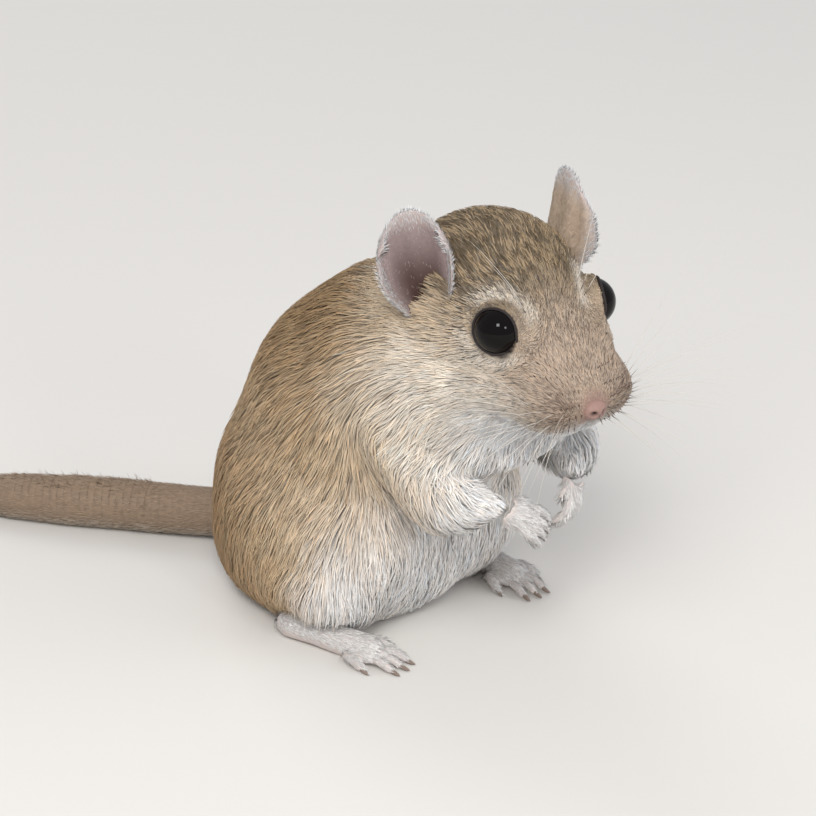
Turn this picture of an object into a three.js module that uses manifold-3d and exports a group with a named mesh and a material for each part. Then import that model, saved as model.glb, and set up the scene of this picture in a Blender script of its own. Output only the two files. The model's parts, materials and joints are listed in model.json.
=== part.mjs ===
// A life-size, still model of a fat-tailed gerbil that sits up on its hind feet with its forepaws held together.
// Millimetres, +Z up. The body faces -Y, its right side is towards -X, and it rests on the plane Z = 0.

import * as THREE from "three";
import { mergeVertices } from "three/addons/utils/BufferGeometryUtils.js";
import Module from "manifold-3d";

const wasm = await Module();
wasm.setup();

// Driving dimensions, measured over the coat.
const BODY_WIDTH = 39;
const SHOULDER_HEIGHT = 50;
const HEAD_WIDTH = 25;
const HEAD_LENGTH = 36;
const EYE_RADIUS = 3.15;
const EAR_LENGTH = 14.8;
const EAR_WIDTH = 11.5;
const FOOT_LENGTH = 18.5;
const PAW_LENGTH = 8.2;
const TAIL_LENGTH = 52;
const TAIL_THICKNESS = 7.1;

// Fits and finish.
const GAP = 0.3;
const BLEND = 4;
const OUTER_REACH = 60;
const BODY_DETAIL = 7;
const HEAD_DETAIL = 8;
const LIMB_DETAIL = 3;
const CLEARANCE_DETAIL = 8;

// The ways that the parts face, in degrees.
const HEAD_YAW = -11.5;
const HEAD_PITCH = 13;

const vec = (x, y, z) => new THREE.Vector3(x, y, z);
const radians = THREE.MathUtils.degToRad;
const lerp = THREE.MathUtils.lerp;
const SIDES = { right: -1, left: 1 };

// Colours and finish, each a material of its own.
const finish = (color, roughness, metalness = 0) =>
  new THREE.MeshStandardMaterial({ color, roughness, metalness });
const COAT_BACK = finish(0xa88a63, 0.9);
const COAT_FACE = finish(0xb79b76, 0.9);
const COAT_PALE = finish(0xd2c8b8, 0.9);
const EAR_SKIN = finish(0xb59a92, 0.7);
const FOOT_SKIN = finish(0xc7b5ab, 0.75);
const TAIL_SKIN = finish(0x8f776a, 0.75);
const EYE_GLOSS = finish(0x07070a, 0.08);

// An ellipsoid of flesh and coat: the field is below zero inside it, and near the distance to it outside.
function blob(centre, radii, tilt = 0) {
  const turn = Math.cos(radians(tilt));
  const lean = Math.sin(radians(tilt));
  return (p) => {
    const x = p.x - centre[0];
    const dy = p.y - centre[1];
    const dz = p.z - centre[2];
    const y = dy * turn + dz * lean;
    const z = dz * turn - dy * lean;
    const near = Math.hypot(x / radii[0], y / radii[1], z / radii[2]);
    const slope = Math.hypot(x / radii[0] ** 2, y / radii[1] ** 2, z / radii[2] ** 2);
    return slope < 1e-9 ? -Math.min(...radii) : (near * (near - 1)) / slope;
  };
}

// A bar with round ends whose radius changes from one end to the other.
function taper(start, end, startRadius, endRadius) {
  const a = vec(...start);
  const along = vec(...end).sub(a);
  return (p) => {
    const offset = p.clone().sub(a);
    const share = THREE.MathUtils.clamp(offset.dot(along) / along.lengthSq(), 0, 1);
    return offset.addScaledVector(along, -share).length() - lerp(startRadius, endRadius, share);
  };
}

// Fields joined with a soft fillet, as flesh is.
function softUnion(fields, fillet = BLEND) {
  return (p) =>
    fields
      .map((field) => field(p))
      .reduce((a, b) => {
        const share = Math.max(fillet - Math.abs(a - b), 0) / fillet;
        return Math.min(a, b) - (share * share * fillet) / 4;
      });
}

// Where a ray from inside a field last leaves it, with the field grown by a clearance.
function lastHit(field, centre, direction, grow = 0) {
  const at = (r) => field(centre.clone().addScaledVector(direction, r)) - grow;
  let far = OUTER_REACH;
  while (far > 1 && at(far - 1) > 0) far -= 1;
  let near = far - 1;
  for (let i = 0; i < 18; i++) {
    const middle = (near + far) / 2;
    if (at(middle) > 0) far = middle;
    else near = middle;
  }
  return centre.clone().addScaledVector(direction, (near + far) / 2);
}

// A closed mesh's geometry as a solid that can be joined and cut.
function solidOf(geometry) {
  const bare = geometry.clone();
  for (const name of Object.keys(bare.attributes)) if (name !== "position") bare.deleteAttribute(name);
  const merged = mergeVertices(bare, 1e-4);
  const mesh = new wasm.Mesh({
    numProp: 3,
    vertProperties: new Float32Array(merged.attributes.position.array),
    triVerts: new Uint32Array(merged.index.array),
  });
  return new wasm.Manifold(mesh);
}

const placed = (solid, matrix) => solid.transform(matrix.elements);
const joined = (solids) => solids.reduce((a, b) => a.add(b));

// The largest closed surface of a solid: this fills sealed hollows and drops loose scraps.
function largest(solid) {
  const pieces = solid.decompose().filter((piece) => piece.volume() > 0);
  return pieces.sort((a, b) => b.volume() - a.volume())[0];
}

// A named, coloured mesh for the scene graph from a solid.
function meshOf(name, solid, material) {
  const { numProp, vertProperties, triVerts } = largest(solid).getMesh();
  const spots = new Float32Array((vertProperties.length / numProp) * 3);
  for (let i = 0; i < spots.length / 3; i++) {
    spots.set(vertProperties.subarray(i * numProp, i * numProp + 3), i * 3);
  }
  const geometry = new THREE.BufferGeometry();
  geometry.setAttribute("position", new THREE.BufferAttribute(spots, 3));
  geometry.setIndex(new THREE.BufferAttribute(new Uint32Array(triVerts), 1));
  geometry.computeVertexNormals();
  const mesh = new THREE.Mesh(geometry, material);
  mesh.name = name;
  return mesh;
}

// A ball whose points are drawn along their rays onto a field's surface.
function skinOf(field, centre, detail, grow = 0) {
  const ball = new THREE.IcosahedronGeometry(1, detail);
  const spots = ball.attributes.position;
  const direction = new THREE.Vector3();
  for (let i = 0; i < spots.count; i++) {
    direction.fromBufferAttribute(spots, i).normalize();
    const hit = lastHit(field, vec(...centre), direction, grow);
    spots.setXYZ(i, hit.x, hit.y, hit.z);
  }
  return solidOf(ball);
}

// A ball stretched along the three axes.
function ellipsoid(centre, radii, sides = 24, rings = 16) {
  return solidOf(
    new THREE.SphereGeometry(1, sides, rings).scale(...radii).translate(...centre),
  );
}

// The value at a share of the way through a list of evenly spread values.
function sample(values, share) {
  const place = (values.length - 1) * share;
  const low = Math.floor(place);
  return lerp(values[low], values[Math.min(low + 1, values.length - 1)], place - low);
}

// A round-ended tube that follows a curve through the points, its radius running through the list of radii.
function tube(points, radii, sides = 8, steps = 8, caps = 3) {
  const curve = new THREE.CatmullRomCurve3(points.map((p) => vec(...p)));
  const capsule = new THREE.CapsuleGeometry(1, 1, caps, sides, steps);
  const spots = capsule.attributes.position;
  const frames = Array.from({ length: steps + 1 }, (_, i) => curve.getTangentAt(i / steps));
  const across = [Math.abs(frames[0].z) < 0.9 ? vec(0, 0, 1) : vec(0, 1, 0)];
  across[0].cross(frames[0]).normalize();
  for (let i = 1; i <= steps; i++) {
    const next = across[i - 1].clone().addScaledVector(frames[i], -across[i - 1].dot(frames[i]));
    across.push(next.normalize());
  }
  for (let i = 0; i < spots.count; i++) {
    const height = spots.getY(i) + 0.5;
    const share = THREE.MathUtils.clamp(height, 0, 1);
    const step = Math.round(share * steps);
    const radius = sample(radii, share);
    const point = curve.getPointAt(share);
    const side = across[step];
    const front = frames[step].clone().cross(side);
    point.addScaledVector(side, spots.getX(i) * radius);
    point.addScaledVector(front, -spots.getZ(i) * radius);
    point.addScaledVector(frames[step], (height - share) * radius);
    spots.setXYZ(i, point.x, point.y, point.z);
  }
  return solidOf(capsule);
}

// A thin curved sheet with one grid for both faces, so that the two never cross.
function sheet(pointAt, thicknessAt, across, along) {
  const grid = new THREE.PlaneGeometry(2, 1, across, along);
  const plane = grid.attributes.position;
  const step = 1e-3;
  const spots = [];
  for (const face of [1, -1]) {
    for (let i = 0; i < plane.count; i++) {
      const u = plane.getX(i);
      const v = plane.getY(i) + 0.5;
      const point = pointAt(u, v);
      const du = pointAt(u + step, v).sub(pointAt(u - step, v));
      const dv = pointAt(u, v + step).sub(pointAt(u, v - step));
      const normal = du.cross(dv).normalize();
      point.addScaledVector(normal, (face * thicknessAt(u, v)) / 2);
      spots.push(point.x, point.y, point.z);
    }
  }
  const front = Array.from(grid.index.array);
  const triangles = [...front];
  for (let i = 0; i < front.length; i += 3) {
    triangles.push(front[i] + plane.count, front[i + 2] + plane.count, front[i + 1] + plane.count);
  }
  const row = across + 1;
  const rim = [];
  for (let i = 0; i < across; i++) rim.push(i);
  for (let i = 0; i < along; i++) rim.push(across + i * row);
  for (let i = across; i > 0; i--) rim.push(along * row + i);
  for (let i = along; i > 0; i--) rim.push(i * row);
  rim.forEach((a, i) => {
    const b = rim[(i + 1) % rim.length];
    triangles.push(a, b, b + plane.count, a, b + plane.count, a + plane.count);
  });
  const geometry = new THREE.BufferGeometry();
  geometry.setAttribute("position", new THREE.BufferAttribute(new Float32Array(spots), 3));
  geometry.setIndex(triangles);
  const solid = solidOf(geometry);
  return solid.volume() > 0 ? solid : solidOf(flipped(geometry));
}

// The same surface with each triangle turned over.
function flipped(geometry) {
  const turned = geometry.clone();
  const order = turned.index.array;
  for (let i = 0; i < order.length; i += 3) [order[i], order[i + 1]] = [order[i + 1], order[i]];
  return turned;
}

// Everything below the floor, which the parts that touch it are cut to.
const FLOOR_CUT = solidOf(new THREE.BoxGeometry(300, 300, 40).translate(0, 0, -20));

// Torso, haunches and neck: one egg-shaped body over the coat, later parted by thin cuts.
const HALF_WIDTH = BODY_WIDTH / 2;
const RUMP = { at: [0, 10.3, 16], size: [HALF_WIDTH, 19, 17.5] };
const SEAT = { at: [0, 12, 7], size: [HALF_WIDTH - 0.8, 18.2, 11.5] };
const BELLY = { at: [0, 5, 28.5], size: [HALF_WIDTH * 0.94, 18.5, 18] };
const CHEST = { at: [0, -3, SHOULDER_HEIGHT - 11], size: [16.3, 16, 14] };
const RUFF = { at: [0, -13, 38], size: [15.5, 12.5, 12] };
const THIGH = { at: [HALF_WIDTH - 7.5, 4, 13], size: [8, 13, 11.5] };
const HAUNCH = { at: [14.5, 6.5, 13.5], size: [8.5, 14, 13.5], tilt: -18 };
const BODY_CENTRE = [0, 2, 27];
const mirrored = (point, side) => [point[0] * side, point[1], point[2]];
const bodyField = softUnion([
  ...[RUMP, SEAT, BELLY, CHEST, RUFF].map(({ at, size }) => blob(at, size)),
  ...Object.values(SIDES).map((side) => blob(mirrored(THIGH.at, side), THIGH.size, HAUNCH.tilt)),
]);
const body = skinOf(bodyField, BODY_CENTRE, BODY_DETAIL).subtract(FLOOR_CUT);
const bodyGrown = skinOf(bodyField, BODY_CENTRE, BODY_DETAIL, GAP);

// The head, in a frame of its own between the ears: it faces -Y there too.
const HALF_HEAD = HEAD_WIDTH / 2;
const SNOUT = -HEAD_LENGTH * 0.53;
const headGroup = new THREE.Group();
headGroup.position.set(0.6, -16.9, 49.5);
headGroup.rotation.set(radians(HEAD_PITCH), 0, radians(HEAD_YAW), "ZXY");
headGroup.updateMatrixWorld(true);
const headField = softUnion(
  [
    blob([0, 4, -0.3], [HALF_HEAD * 0.96, 12.5, 11.5]),
    taper([0, -4, -0.2], [0, SNOUT + 5, -4], 9.4, 4.6),
    ...Object.values(SIDES).flatMap((side) => [
      blob([side * 7.2, 4.5, -5], [6.5, 9, 7.5]),
      blob([side * 6, -6, 0.4], [4.2, 6.5, 5.4]),
      blob([side * 6.4, -5, -5.5], [5, 7.5, 5]),
      blob([side * 4.3, SNOUT + 4.4, -4.4], [4.5, 4.9, 4.4]),
    ]),
    blob([0, SNOUT + 7.6, -8.6], [4, 5.5, 3.2]),
  ],
  3,
);
const HEAD_CENTRE = [0, -4, -1];
const NOSE = [0, SNOUT + 0.6, -4];
const EYE_AT = [7.6, -7.2, 3.0];
const EYE_LOOKS = vec(0.86, -0.42, 0.27).normalize();
const EAR_AT = [9.4, 4.5, -0.7];
const EAR_TURN = { back: -8, out: 17, open: { right: 42, left: 78 } };

// The point where a ray from the middle of the head leaves it.
const onHead = (direction) => lastHit(headField, vec(...HEAD_CENTRE), vec(...direction).normalize());

// The mouth's line runs down the split under the nose and back along both lips.
function mouthCurve() {
  const corner = [0.42, -0.62, -0.66];
  const middle = [0, -0.86, -0.5];
  const count = 5;
  const points = [];
  for (let i = -count; i <= count; i++) {
    const share = Math.abs(i) / count;
    const dip = 0.1 * Math.sin(share * Math.PI);
    points.push(
      onHead([
        Math.sign(i) * corner[0] * share,
        lerp(middle[1], corner[1], share),
        lerp(middle[2], corner[2], share) - dip,
      ]).toArray(),
    );
  }
  return points;
}

// A lid's ring: it lies round the eye's line of sight, in front of the eye's middle.
function ringOn(centre, axis, offset, radius, thickness) {
  const ring = new THREE.TorusGeometry(radius, thickness, 5, 18);
  const turn = new THREE.Quaternion().setFromUnitVectors(vec(0, 0, 1), axis);
  ring.applyQuaternion(turn);
  const at = vec(...centre).addScaledVector(axis, offset);
  return solidOf(ring.translate(at.x, at.y, at.z));
}

// Skull with sockets, lids, nose pad, nostrils, lips and the mouth's line.
const LID_OPENING = 3.1;
const LID_THICKNESS = 0.55;
const LID_FORWARD = 1.75;
const NOSE_PAD = [1.9, 1.5, 1.45];
const NOSTRIL = [[0.75, -1.6, -0.1], [1.0, -0.7, 0.1], [1.5, 0.2, -0.2]];
const NOSTRIL_RADII = [0.3, 0.42, 0.25];
const LIP_RADIUS = 0.75;
const MOUTH_GROOVE = 0.3;
const byNose = ([x, y, z], side = 1) => [side * x, NOSE[1] + y, NOSE[2] + z];
function headSolid() {
  const mouth = mouthCurve();
  const lips = tube(mouth.map(([x, y, z]) => [x * 0.97, y + 0.35, z + 0.25]), [LIP_RADIUS], 6, 12, 2);
  let head = skinOf(headField, HEAD_CENTRE, HEAD_DETAIL);
  head = head.add(ellipsoid(NOSE, NOSE_PAD, 14, 9)).add(lips);
  for (const side of Object.values(SIDES)) {
    const looks = vec(EYE_LOOKS.x * side, EYE_LOOKS.y, EYE_LOOKS.z);
    const socket = ellipsoid(mirrored(EYE_AT, side), Array(3).fill(EYE_RADIUS + GAP), 16, 10);
    head = head.add(ringOn(mirrored(EYE_AT, side), looks, LID_FORWARD, LID_OPENING, LID_THICKNESS));
    head = head.subtract(socket);
    head = head.subtract(tube(NOSTRIL.map((p) => byNose(p, side)), NOSTRIL_RADII, 6, 4, 2));
  }
  const split = [byNose([0, -1.5, -0.6]), byNose([0, -0.8, -1.4]), mouth[(mouth.length - 1) / 2]];
  head = head.subtract(tube(split, [MOUTH_GROOVE], 6, 5, 1));
  return head.subtract(tube(mouth, [MOUTH_GROOVE], 5, 16, 1));
}

// The ear's own frame: +Z from root to tip, and its cup opens towards -Y.
const EAR_THICKNESS = 0.7;
const EAR_NARROWEST = 0.25;
const EAR_WRAP = { root: 1.6, tip: 0.75 };
const EAR_TIP_ROUND = 0.3;
const EAR_LEAN = 1.4;
function earPoint(side) {
  return (u, v) => {
    const belly = Math.sin(Math.PI * Math.min(v * 0.72 + 0.12, 1));
    const halfWidth = (EAR_WIDTH / 2) * lerp(EAR_NARROWEST, 1, belly);
    const wrap = lerp(EAR_WRAP.root, EAR_WRAP.tip, Math.min(v * 1.4, 1));
    const bend = halfWidth / wrap;
    const angle = u * wrap;
    return vec(
      side * bend * Math.sin(angle),
      EAR_LEAN * v * v - bend * (1 - Math.cos(angle)),
      EAR_LENGTH * v * (1 - EAR_TIP_ROUND * v * v * u * u),
    );
  };
}

// How an ear stands in the head's frame.
function earMatrix(name) {
  const side = SIDES[name];
  const turn = [EAR_TURN.back, side * EAR_TURN.out, side * EAR_TURN.open[name]].map(radians);
  const matrix = new THREE.Matrix4().makeRotationFromEuler(new THREE.Euler(...turn, "XYZ"));
  return matrix.setPosition(...mirrored(EAR_AT, side));
}

function earSolid(name) {
  const thickness = (u, v) => EAR_THICKNESS * lerp(1.25, 0.85, v);
  const cup = sheet(earPoint(SIDES[name]), thickness, 11, 10);
  return placed(cup, earMatrix(name)).subtract(headGrown);
}

const eyeSolid = (side) => ellipsoid(mirrored(EYE_AT, side), Array(3).fill(EYE_RADIUS), 14, 10);

// Hands and feet: digits that splay from the palm or sole, each with a curved claw.
const CLAW_LENGTH = 1.4;
const CLAW_RISE = 0.08;
const CLAW_DROP = 0.22;
function digit(base, knuckle, tip, radius, claw = CLAW_LENGTH) {
  const end = vec(...tip);
  const way = end.clone().sub(vec(...knuckle)).normalize();
  const clawMiddle = end.clone().addScaledVector(way, claw / 2).add(vec(0, 0, claw * CLAW_RISE));
  const clawTip = end.clone().addScaledVector(way, claw).add(vec(0, 0, -claw * CLAW_DROP));
  return joined([
    tube([base, knuckle, tip], [radius * 1.05, radius, radius * 0.85], 5, 3, 1),
    tube([tip, clawMiddle.toArray(), clawTip.toArray()], [radius * 0.5, radius * 0.38, 0.12], 4, 2, 1),
  ]);
}

// The forepaw's frame: the wrist is its origin, the fingers run to -Y, and the palm faces -Z.
const FINGER_RADIUS = 0.62;
const FINGER_PLACES = [-1.5, -0.5, 0.5, 1.5];
const THUMB = { base: [1.9, -1.4, -0.3], knuckle: [2.4, -2.1, -0.7], tip: [2.5, -2.7, -1.1], radius: 0.5 };
function pawSolid(side, curl) {
  const palmLength = PAW_LENGTH * 0.45;
  const palm = ellipsoid([0, -palmLength * 0.6, 0], [2.15, palmLength * 0.78, 1.35], 12, 8);
  const wrist = tube([[0, 0.9, 0], [0, -0.3, 0], [0, -1.8, 0]], [1.6, 1.6, 1.5], 8, 2, 2);
  const fingers = FINGER_PLACES.map((place) => {
    const reach = 1 - 0.1 * Math.abs(place);
    return digit(
      [place * 1.05, -palmLength * 0.95, 0.1],
      [place * 1.3, -palmLength - 1.5 * reach, -0.1 - curl * 0.3],
      [place * 1.2, -palmLength - 2.8 * reach, -0.7 - curl * 1.3],
      FINGER_RADIUS,
    );
  });
  const [base, knuckle, tip] = [THUMB.base, THUMB.knuckle, THUMB.tip].map((p) => mirrored(p, -side));
  const thumb = digit(base, knuckle, tip, THUMB.radius, THUMB.radius);
  return joined([palm, wrist, ...fingers, thumb]);
}

// The hind foot's frame: the heel is above its origin on the floor, and the toes run to -Y.
const TOE_RADIUS = 0.72;
const TOE_PLACES = [-2, -1, 0, 1, 2];
const SOLE_LENGTH = FOOT_LENGTH * 0.66;
function footSolid(side) {
  const sole = tube(
    [[0, 0.5, 1.85], [side * 0.2, -4, 1.65], [side * 0.1, -SOLE_LENGTH * 0.7, 1.5], [0, -SOLE_LENGTH, 1.35]],
    [2.1, 1.75, 1.9, 2.0],
    10,
    6,
    2,
  );
  const ball = ellipsoid([0, -SOLE_LENGTH + 0.6, 1.1], [2.9, 2.6, 1.25], 10, 6);
  const toes = TOE_PLACES.map((place) => {
    const outer = Math.abs(place) === 2;
    const start = outer ? -SOLE_LENGTH + 2.2 : -SOLE_LENGTH - 0.4;
    const length = outer ? 3.2 : 4.6 - 0.35 * Math.abs(place);
    return digit(
      [place * 1.15, start, 1.0],
      [place * 1.6, start - length / 2, 1.35],
      [place * 1.75, start - length, 0.62],
      TOE_RADIUS,
    );
  });
  return joined([sole, ball, ...toes]);
}

// A matrix that stands a limb's end at a point, with -Y along one way and +Z nearest to another.
function aimed(at, forward, upHint) {
  const back = vec(...forward).normalize().negate();
  const right = back.clone().cross(vec(...upHint)).normalize();
  const up = right.clone().cross(back);
  return new THREE.Matrix4().makeBasis(right, back, up).setPosition(...at);
}

// Where each limb's joints are, in the whole animal's frame.
const ARMS = {
  right: { shoulder: [-10.8, -8, 34.5], elbow: [-11.6, -15.4, 25], wrist: [-6.8, -22.4, 25],
    points: [3.6, -5.4, -3], back: [-0.5, -0.35, 0.8], curl: 0.5 },
  left: { shoulder: [11.4, -9.5, 35], elbow: [11.6, -18.6, 27.5], wrist: [4.8, -24.9, 26.2],
    points: [-1.6, -1.2, -6], back: [0.5, -0.85, 0.25], curl: 1 },
};
const ARM_RADII = { shoulder: 6.2, elbow: 4.6, forearm: 4, wrist: 2.1 };
const LEGS = {
  right: { heel: [-17.4, 5.2, 0], ankle: [-17.8, 0.8, 3.4], knee: [-14.5, 0.5, 14], turn: 9 },
  left: { heel: [15.6, 5.2, 0], ankle: [15.9, 0.8, 3.4], knee: [13.5, 0.5, 14], turn: -8 },
};
const LEG_RADII = { ankle: 2.3, knee: 5.5 };
const FOOT_CLEARANCE = { heel: 2.5, ball: 3.1 };

const root = new THREE.Group();
root.add(headGroup);

// The body's solids, parted below: what grows out of them is carved from them first.
const NECK_PLANE = { at: [0, -9, 38], lean: 42 };
const SPACE = 120;
const shell = { torso: null, neck: null };

// The half of space on the head's side of the plane between neck and torso, moved back by half a gap.
function neckHalf(gap) {
  const half = new THREE.BoxGeometry(SPACE, SPACE, SPACE).translate(0, 0, (SPACE + gap) / 2);
  half.rotateX(radians(NECK_PLANE.lean)).translate(...NECK_PLANE.at);
  return solidOf(half);
}

function carve(clearance) {
  shell.torso = shell.torso.subtract(clearance);
  shell.neck = shell.neck.subtract(clearance);
}

function addHead() {
  headGroup.add(meshOf("head", headSolid(), COAT_FACE));
  for (const [name, side] of Object.entries(SIDES)) {
    headGroup.add(meshOf(`eye_${name}`, eyeSolid(side), EYE_GLOSS));
    headGroup.add(meshOf(`ear_${name}`, earSolid(name), EAR_SKIN));
  }
}

// Upper arm, forearm and paw, each cut back from the one that it grows from.
function addArm(name, side) {
  const { shoulder, elbow, wrist, points, back, curl } = ARMS[name];
  const upperField = taper(shoulder, elbow, ARM_RADII.shoulder, ARM_RADII.elbow);
  const forearmField = taper(elbow, wrist, ARM_RADII.forearm, ARM_RADII.wrist);
  const upper = skinOf(upperField, shoulder, LIMB_DETAIL).subtract(headGrownInPlace);
  const upperGrown = skinOf(upperField, shoulder, LIMB_DETAIL, GAP);
  const forearm = skinOf(forearmField, elbow, LIMB_DETAIL);
  const forearmGrown = skinOf(forearmField, elbow, LIMB_DETAIL, GAP);
  const paw = placed(pawSolid(side, curl), aimed(wrist, points, back));
  root.add(meshOf(`upper_arm_${name}`, upper, COAT_BACK));
  root.add(meshOf(`forearm_${name}`, forearm.subtract(upperGrown), COAT_PALE));
  root.add(meshOf(`paw_${name}`, paw.subtract(forearmGrown), FOOT_SKIN));
  carve(upperGrown);
  carve(forearmGrown);
}

// Haunch, shank and hind foot: the haunch keeps the body's own outline, and the flat sole is whole.
function addLeg(name, side) {
  const { heel, ankle, knee, turn } = LEGS[name];
  const stand = new THREE.Matrix4().makeRotationZ(radians(turn)).setPosition(...heel);
  const ballAt = vec(0, -SOLE_LENGTH, 1.2).applyMatrix4(stand).toArray();
  const heelAt = vec(0, 0.5, 2.1).applyMatrix4(stand).toArray();
  const footField = taper(heelAt, ballAt, FOOT_CLEARANCE.heel, FOOT_CLEARANCE.ball);
  const footGrown = skinOf(footField, heelAt, LIMB_DETAIL);
  const shankField = taper(ankle, knee, LEG_RADII.ankle, LEG_RADII.knee);
  const shank = skinOf(shankField, knee, LIMB_DETAIL).subtract(FLOOR_CUT).subtract(footGrown);
  const shankGrown = skinOf(shankField, knee, LIMB_DETAIL, GAP);
  const haunchField = blob(mirrored(HAUNCH.at, side), HAUNCH.size, HAUNCH.tilt);
  const haunch = skinOf(haunchField, mirrored(HAUNCH.at, side), LIMB_DETAIL);
  const haunchGrown = skinOf(haunchField, mirrored(HAUNCH.at, side), LIMB_DETAIL, GAP);
  carve(footGrown);
  carve(shankGrown);
  root.add(meshOf(`haunch_${name}`, shell.torso.intersect(haunch), COAT_BACK));
  root.add(meshOf(`shank_${name}`, shank, COAT_PALE));
  root.add(meshOf(`foot_${name}`, placed(footSolid(side), stand).subtract(FLOOR_CUT), FOOT_SKIN));
  carve(haunchGrown);
}

// The tail leaves the rump, comes down to the floor and lies back along it, thick in the middle.
const TAIL_POINTS = [
  [0, 25.5, 5.6], [-4, 34.5, 4], [-9, 44, 3.5], [-14.5, 53, 3.3], [-19.5, 62.5, 3], [-22.5, 70, 2.2],
];
const TAIL_RADII = [0.47, 0.47, 0.5, 0.5, 0.44, 0.3].map((share) => share * TAIL_THICKNESS);
function addTail() {
  const tail = tube(TAIL_POINTS, TAIL_RADII, 12, 14, 3).subtract(FLOOR_CUT).subtract(bodyGrown);
  root.add(meshOf("tail", tail, TAIL_SKIN));
}

const headGrown = skinOf(headField, HEAD_CENTRE, CLEARANCE_DETAIL, GAP);
const headGrownInPlace = placed(headGrown, headGroup.matrixWorld);
shell.torso = body.subtract(neckHalf(-GAP)).subtract(headGrownInPlace);
shell.neck = body.intersect(neckHalf(GAP)).subtract(headGrownInPlace);
addHead();
for (const [name, side] of Object.entries(SIDES)) {
  addArm(name, side);
  addLeg(name, side);
}
root.add(meshOf("neck", shell.neck, COAT_PALE));
root.add(meshOf("torso", shell.torso, COAT_BACK));
addTail();

// The origin is under the middle of the whole outline, on the floor.
const outline = new THREE.Box3().setFromObject(root, true);
const middle = outline.getCenter(new THREE.Vector3());
root.position.set(-middle.x, -middle.y, -outline.min.z);

export default root;
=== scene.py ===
# %% [markdown]
# # A fat-tailed gerbil, life size
# The animal sits up on its hind feet and holds its forepaws together. Under the coat is one skin.
# Over it lie about a hundred and fifty thousand tufts, each a thin closed blade of mesh, combed along
# the body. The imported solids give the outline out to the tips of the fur, so skin and coat start from them.

# %% Load the solids
import json
import math
import bmesh
import bpy
import numpy as np
from mathutils import Matrix, Vector, noise
from mathutils.bvhtree import BVHTree

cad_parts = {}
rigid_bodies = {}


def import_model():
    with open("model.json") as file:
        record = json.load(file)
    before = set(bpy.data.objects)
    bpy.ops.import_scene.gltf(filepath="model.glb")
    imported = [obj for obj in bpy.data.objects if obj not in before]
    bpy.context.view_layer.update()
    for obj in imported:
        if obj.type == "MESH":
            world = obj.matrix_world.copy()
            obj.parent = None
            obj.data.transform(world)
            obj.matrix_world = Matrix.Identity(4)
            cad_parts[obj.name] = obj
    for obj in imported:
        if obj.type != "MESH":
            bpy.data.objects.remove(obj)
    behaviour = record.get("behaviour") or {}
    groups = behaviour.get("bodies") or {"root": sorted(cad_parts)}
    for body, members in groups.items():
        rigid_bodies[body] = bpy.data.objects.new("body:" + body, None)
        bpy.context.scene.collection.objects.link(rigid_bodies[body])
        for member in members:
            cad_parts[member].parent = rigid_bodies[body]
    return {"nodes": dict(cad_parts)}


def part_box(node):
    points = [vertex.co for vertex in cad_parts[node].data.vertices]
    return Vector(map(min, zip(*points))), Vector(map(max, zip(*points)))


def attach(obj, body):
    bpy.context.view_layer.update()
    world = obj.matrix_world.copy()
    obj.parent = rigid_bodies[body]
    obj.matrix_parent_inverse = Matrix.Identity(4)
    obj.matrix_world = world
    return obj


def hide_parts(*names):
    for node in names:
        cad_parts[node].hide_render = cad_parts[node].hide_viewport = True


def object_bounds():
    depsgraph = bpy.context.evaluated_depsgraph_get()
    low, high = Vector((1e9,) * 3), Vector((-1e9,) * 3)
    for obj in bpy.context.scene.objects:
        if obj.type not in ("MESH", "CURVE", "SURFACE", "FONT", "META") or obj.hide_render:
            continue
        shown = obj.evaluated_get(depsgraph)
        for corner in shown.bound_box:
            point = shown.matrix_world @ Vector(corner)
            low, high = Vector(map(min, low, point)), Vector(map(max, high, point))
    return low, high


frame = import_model()
cad_box = [list(corner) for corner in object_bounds()]
print("solids:", len(frame["nodes"]), "box in m", [[round(v, 4) for v in corner] for corner in cad_box])

# %% [markdown]
# ## One home for every measure
# Places on the animal are easiest to say in millimetres: on the body from a point on the floor between
# the haunches, on the head from a point between the ears, with the snout along -Y. The eyes are the
# best landmarks, because both are round and clear, so the two frames are found from the eye solids.

# %% Body and head frames
MM = 0.001
HEAD_YAW = -11.5
HEAD_PITCH = 13.0
HEAD_IN_BODY = np.array([0.6, -16.9, 49.5])
EYE_IN_HEAD = np.array([7.6, -7.2, 3.0])
EYE_RADIUS = 3.15
SIDES = {"right": -1, "left": 1}


def middle(node):
    low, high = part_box(node)
    return np.array((low + high) / 2) / MM


turn = Matrix.Rotation(math.radians(HEAD_YAW), 3, "Z") @ Matrix.Rotation(math.radians(HEAD_PITCH), 3, "X")
HEAD_TURN = np.array(turn)
between_eyes = (middle("eye_right") + middle("eye_left")) / 2
head_origin = between_eyes - HEAD_TURN @ (EYE_IN_HEAD * [0, 1, 1])
HOME = head_origin - HEAD_IN_BODY


def from_frame(points):
    return np.asarray(points) / MM - HOME


def to_frame(points):
    return (np.asarray(points) + HOME) * MM


def in_head(points):
    return (points - HEAD_IN_BODY) @ HEAD_TURN


def out_of_head(points):
    return np.asarray(points) @ HEAD_TURN.T + HEAD_IN_BODY


def smooth(low, high, value):
    share = np.clip((value - low) / (high - low), 0, 1)
    return share * share * (3 - 2 * share)


def unit(vectors):
    vectors = np.asarray(vectors, float)
    return vectors / np.maximum(np.linalg.norm(vectors, axis=-1, keepdims=True), 1e-9)


def mirror(point, side):
    return np.array([point[0] * side, point[1], point[2]], float)


print("body frame at", HOME.round(2), "mm; head frame at", head_origin.round(2), "mm")

# %% [markdown]
# ## Camera
# The photo looks down on the animal from the front of its right side, from about arm's length, through
# a long lens. The camera aims at the middle of the body. It is made first, so that every later piece
# can be judged in the same view.

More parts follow.
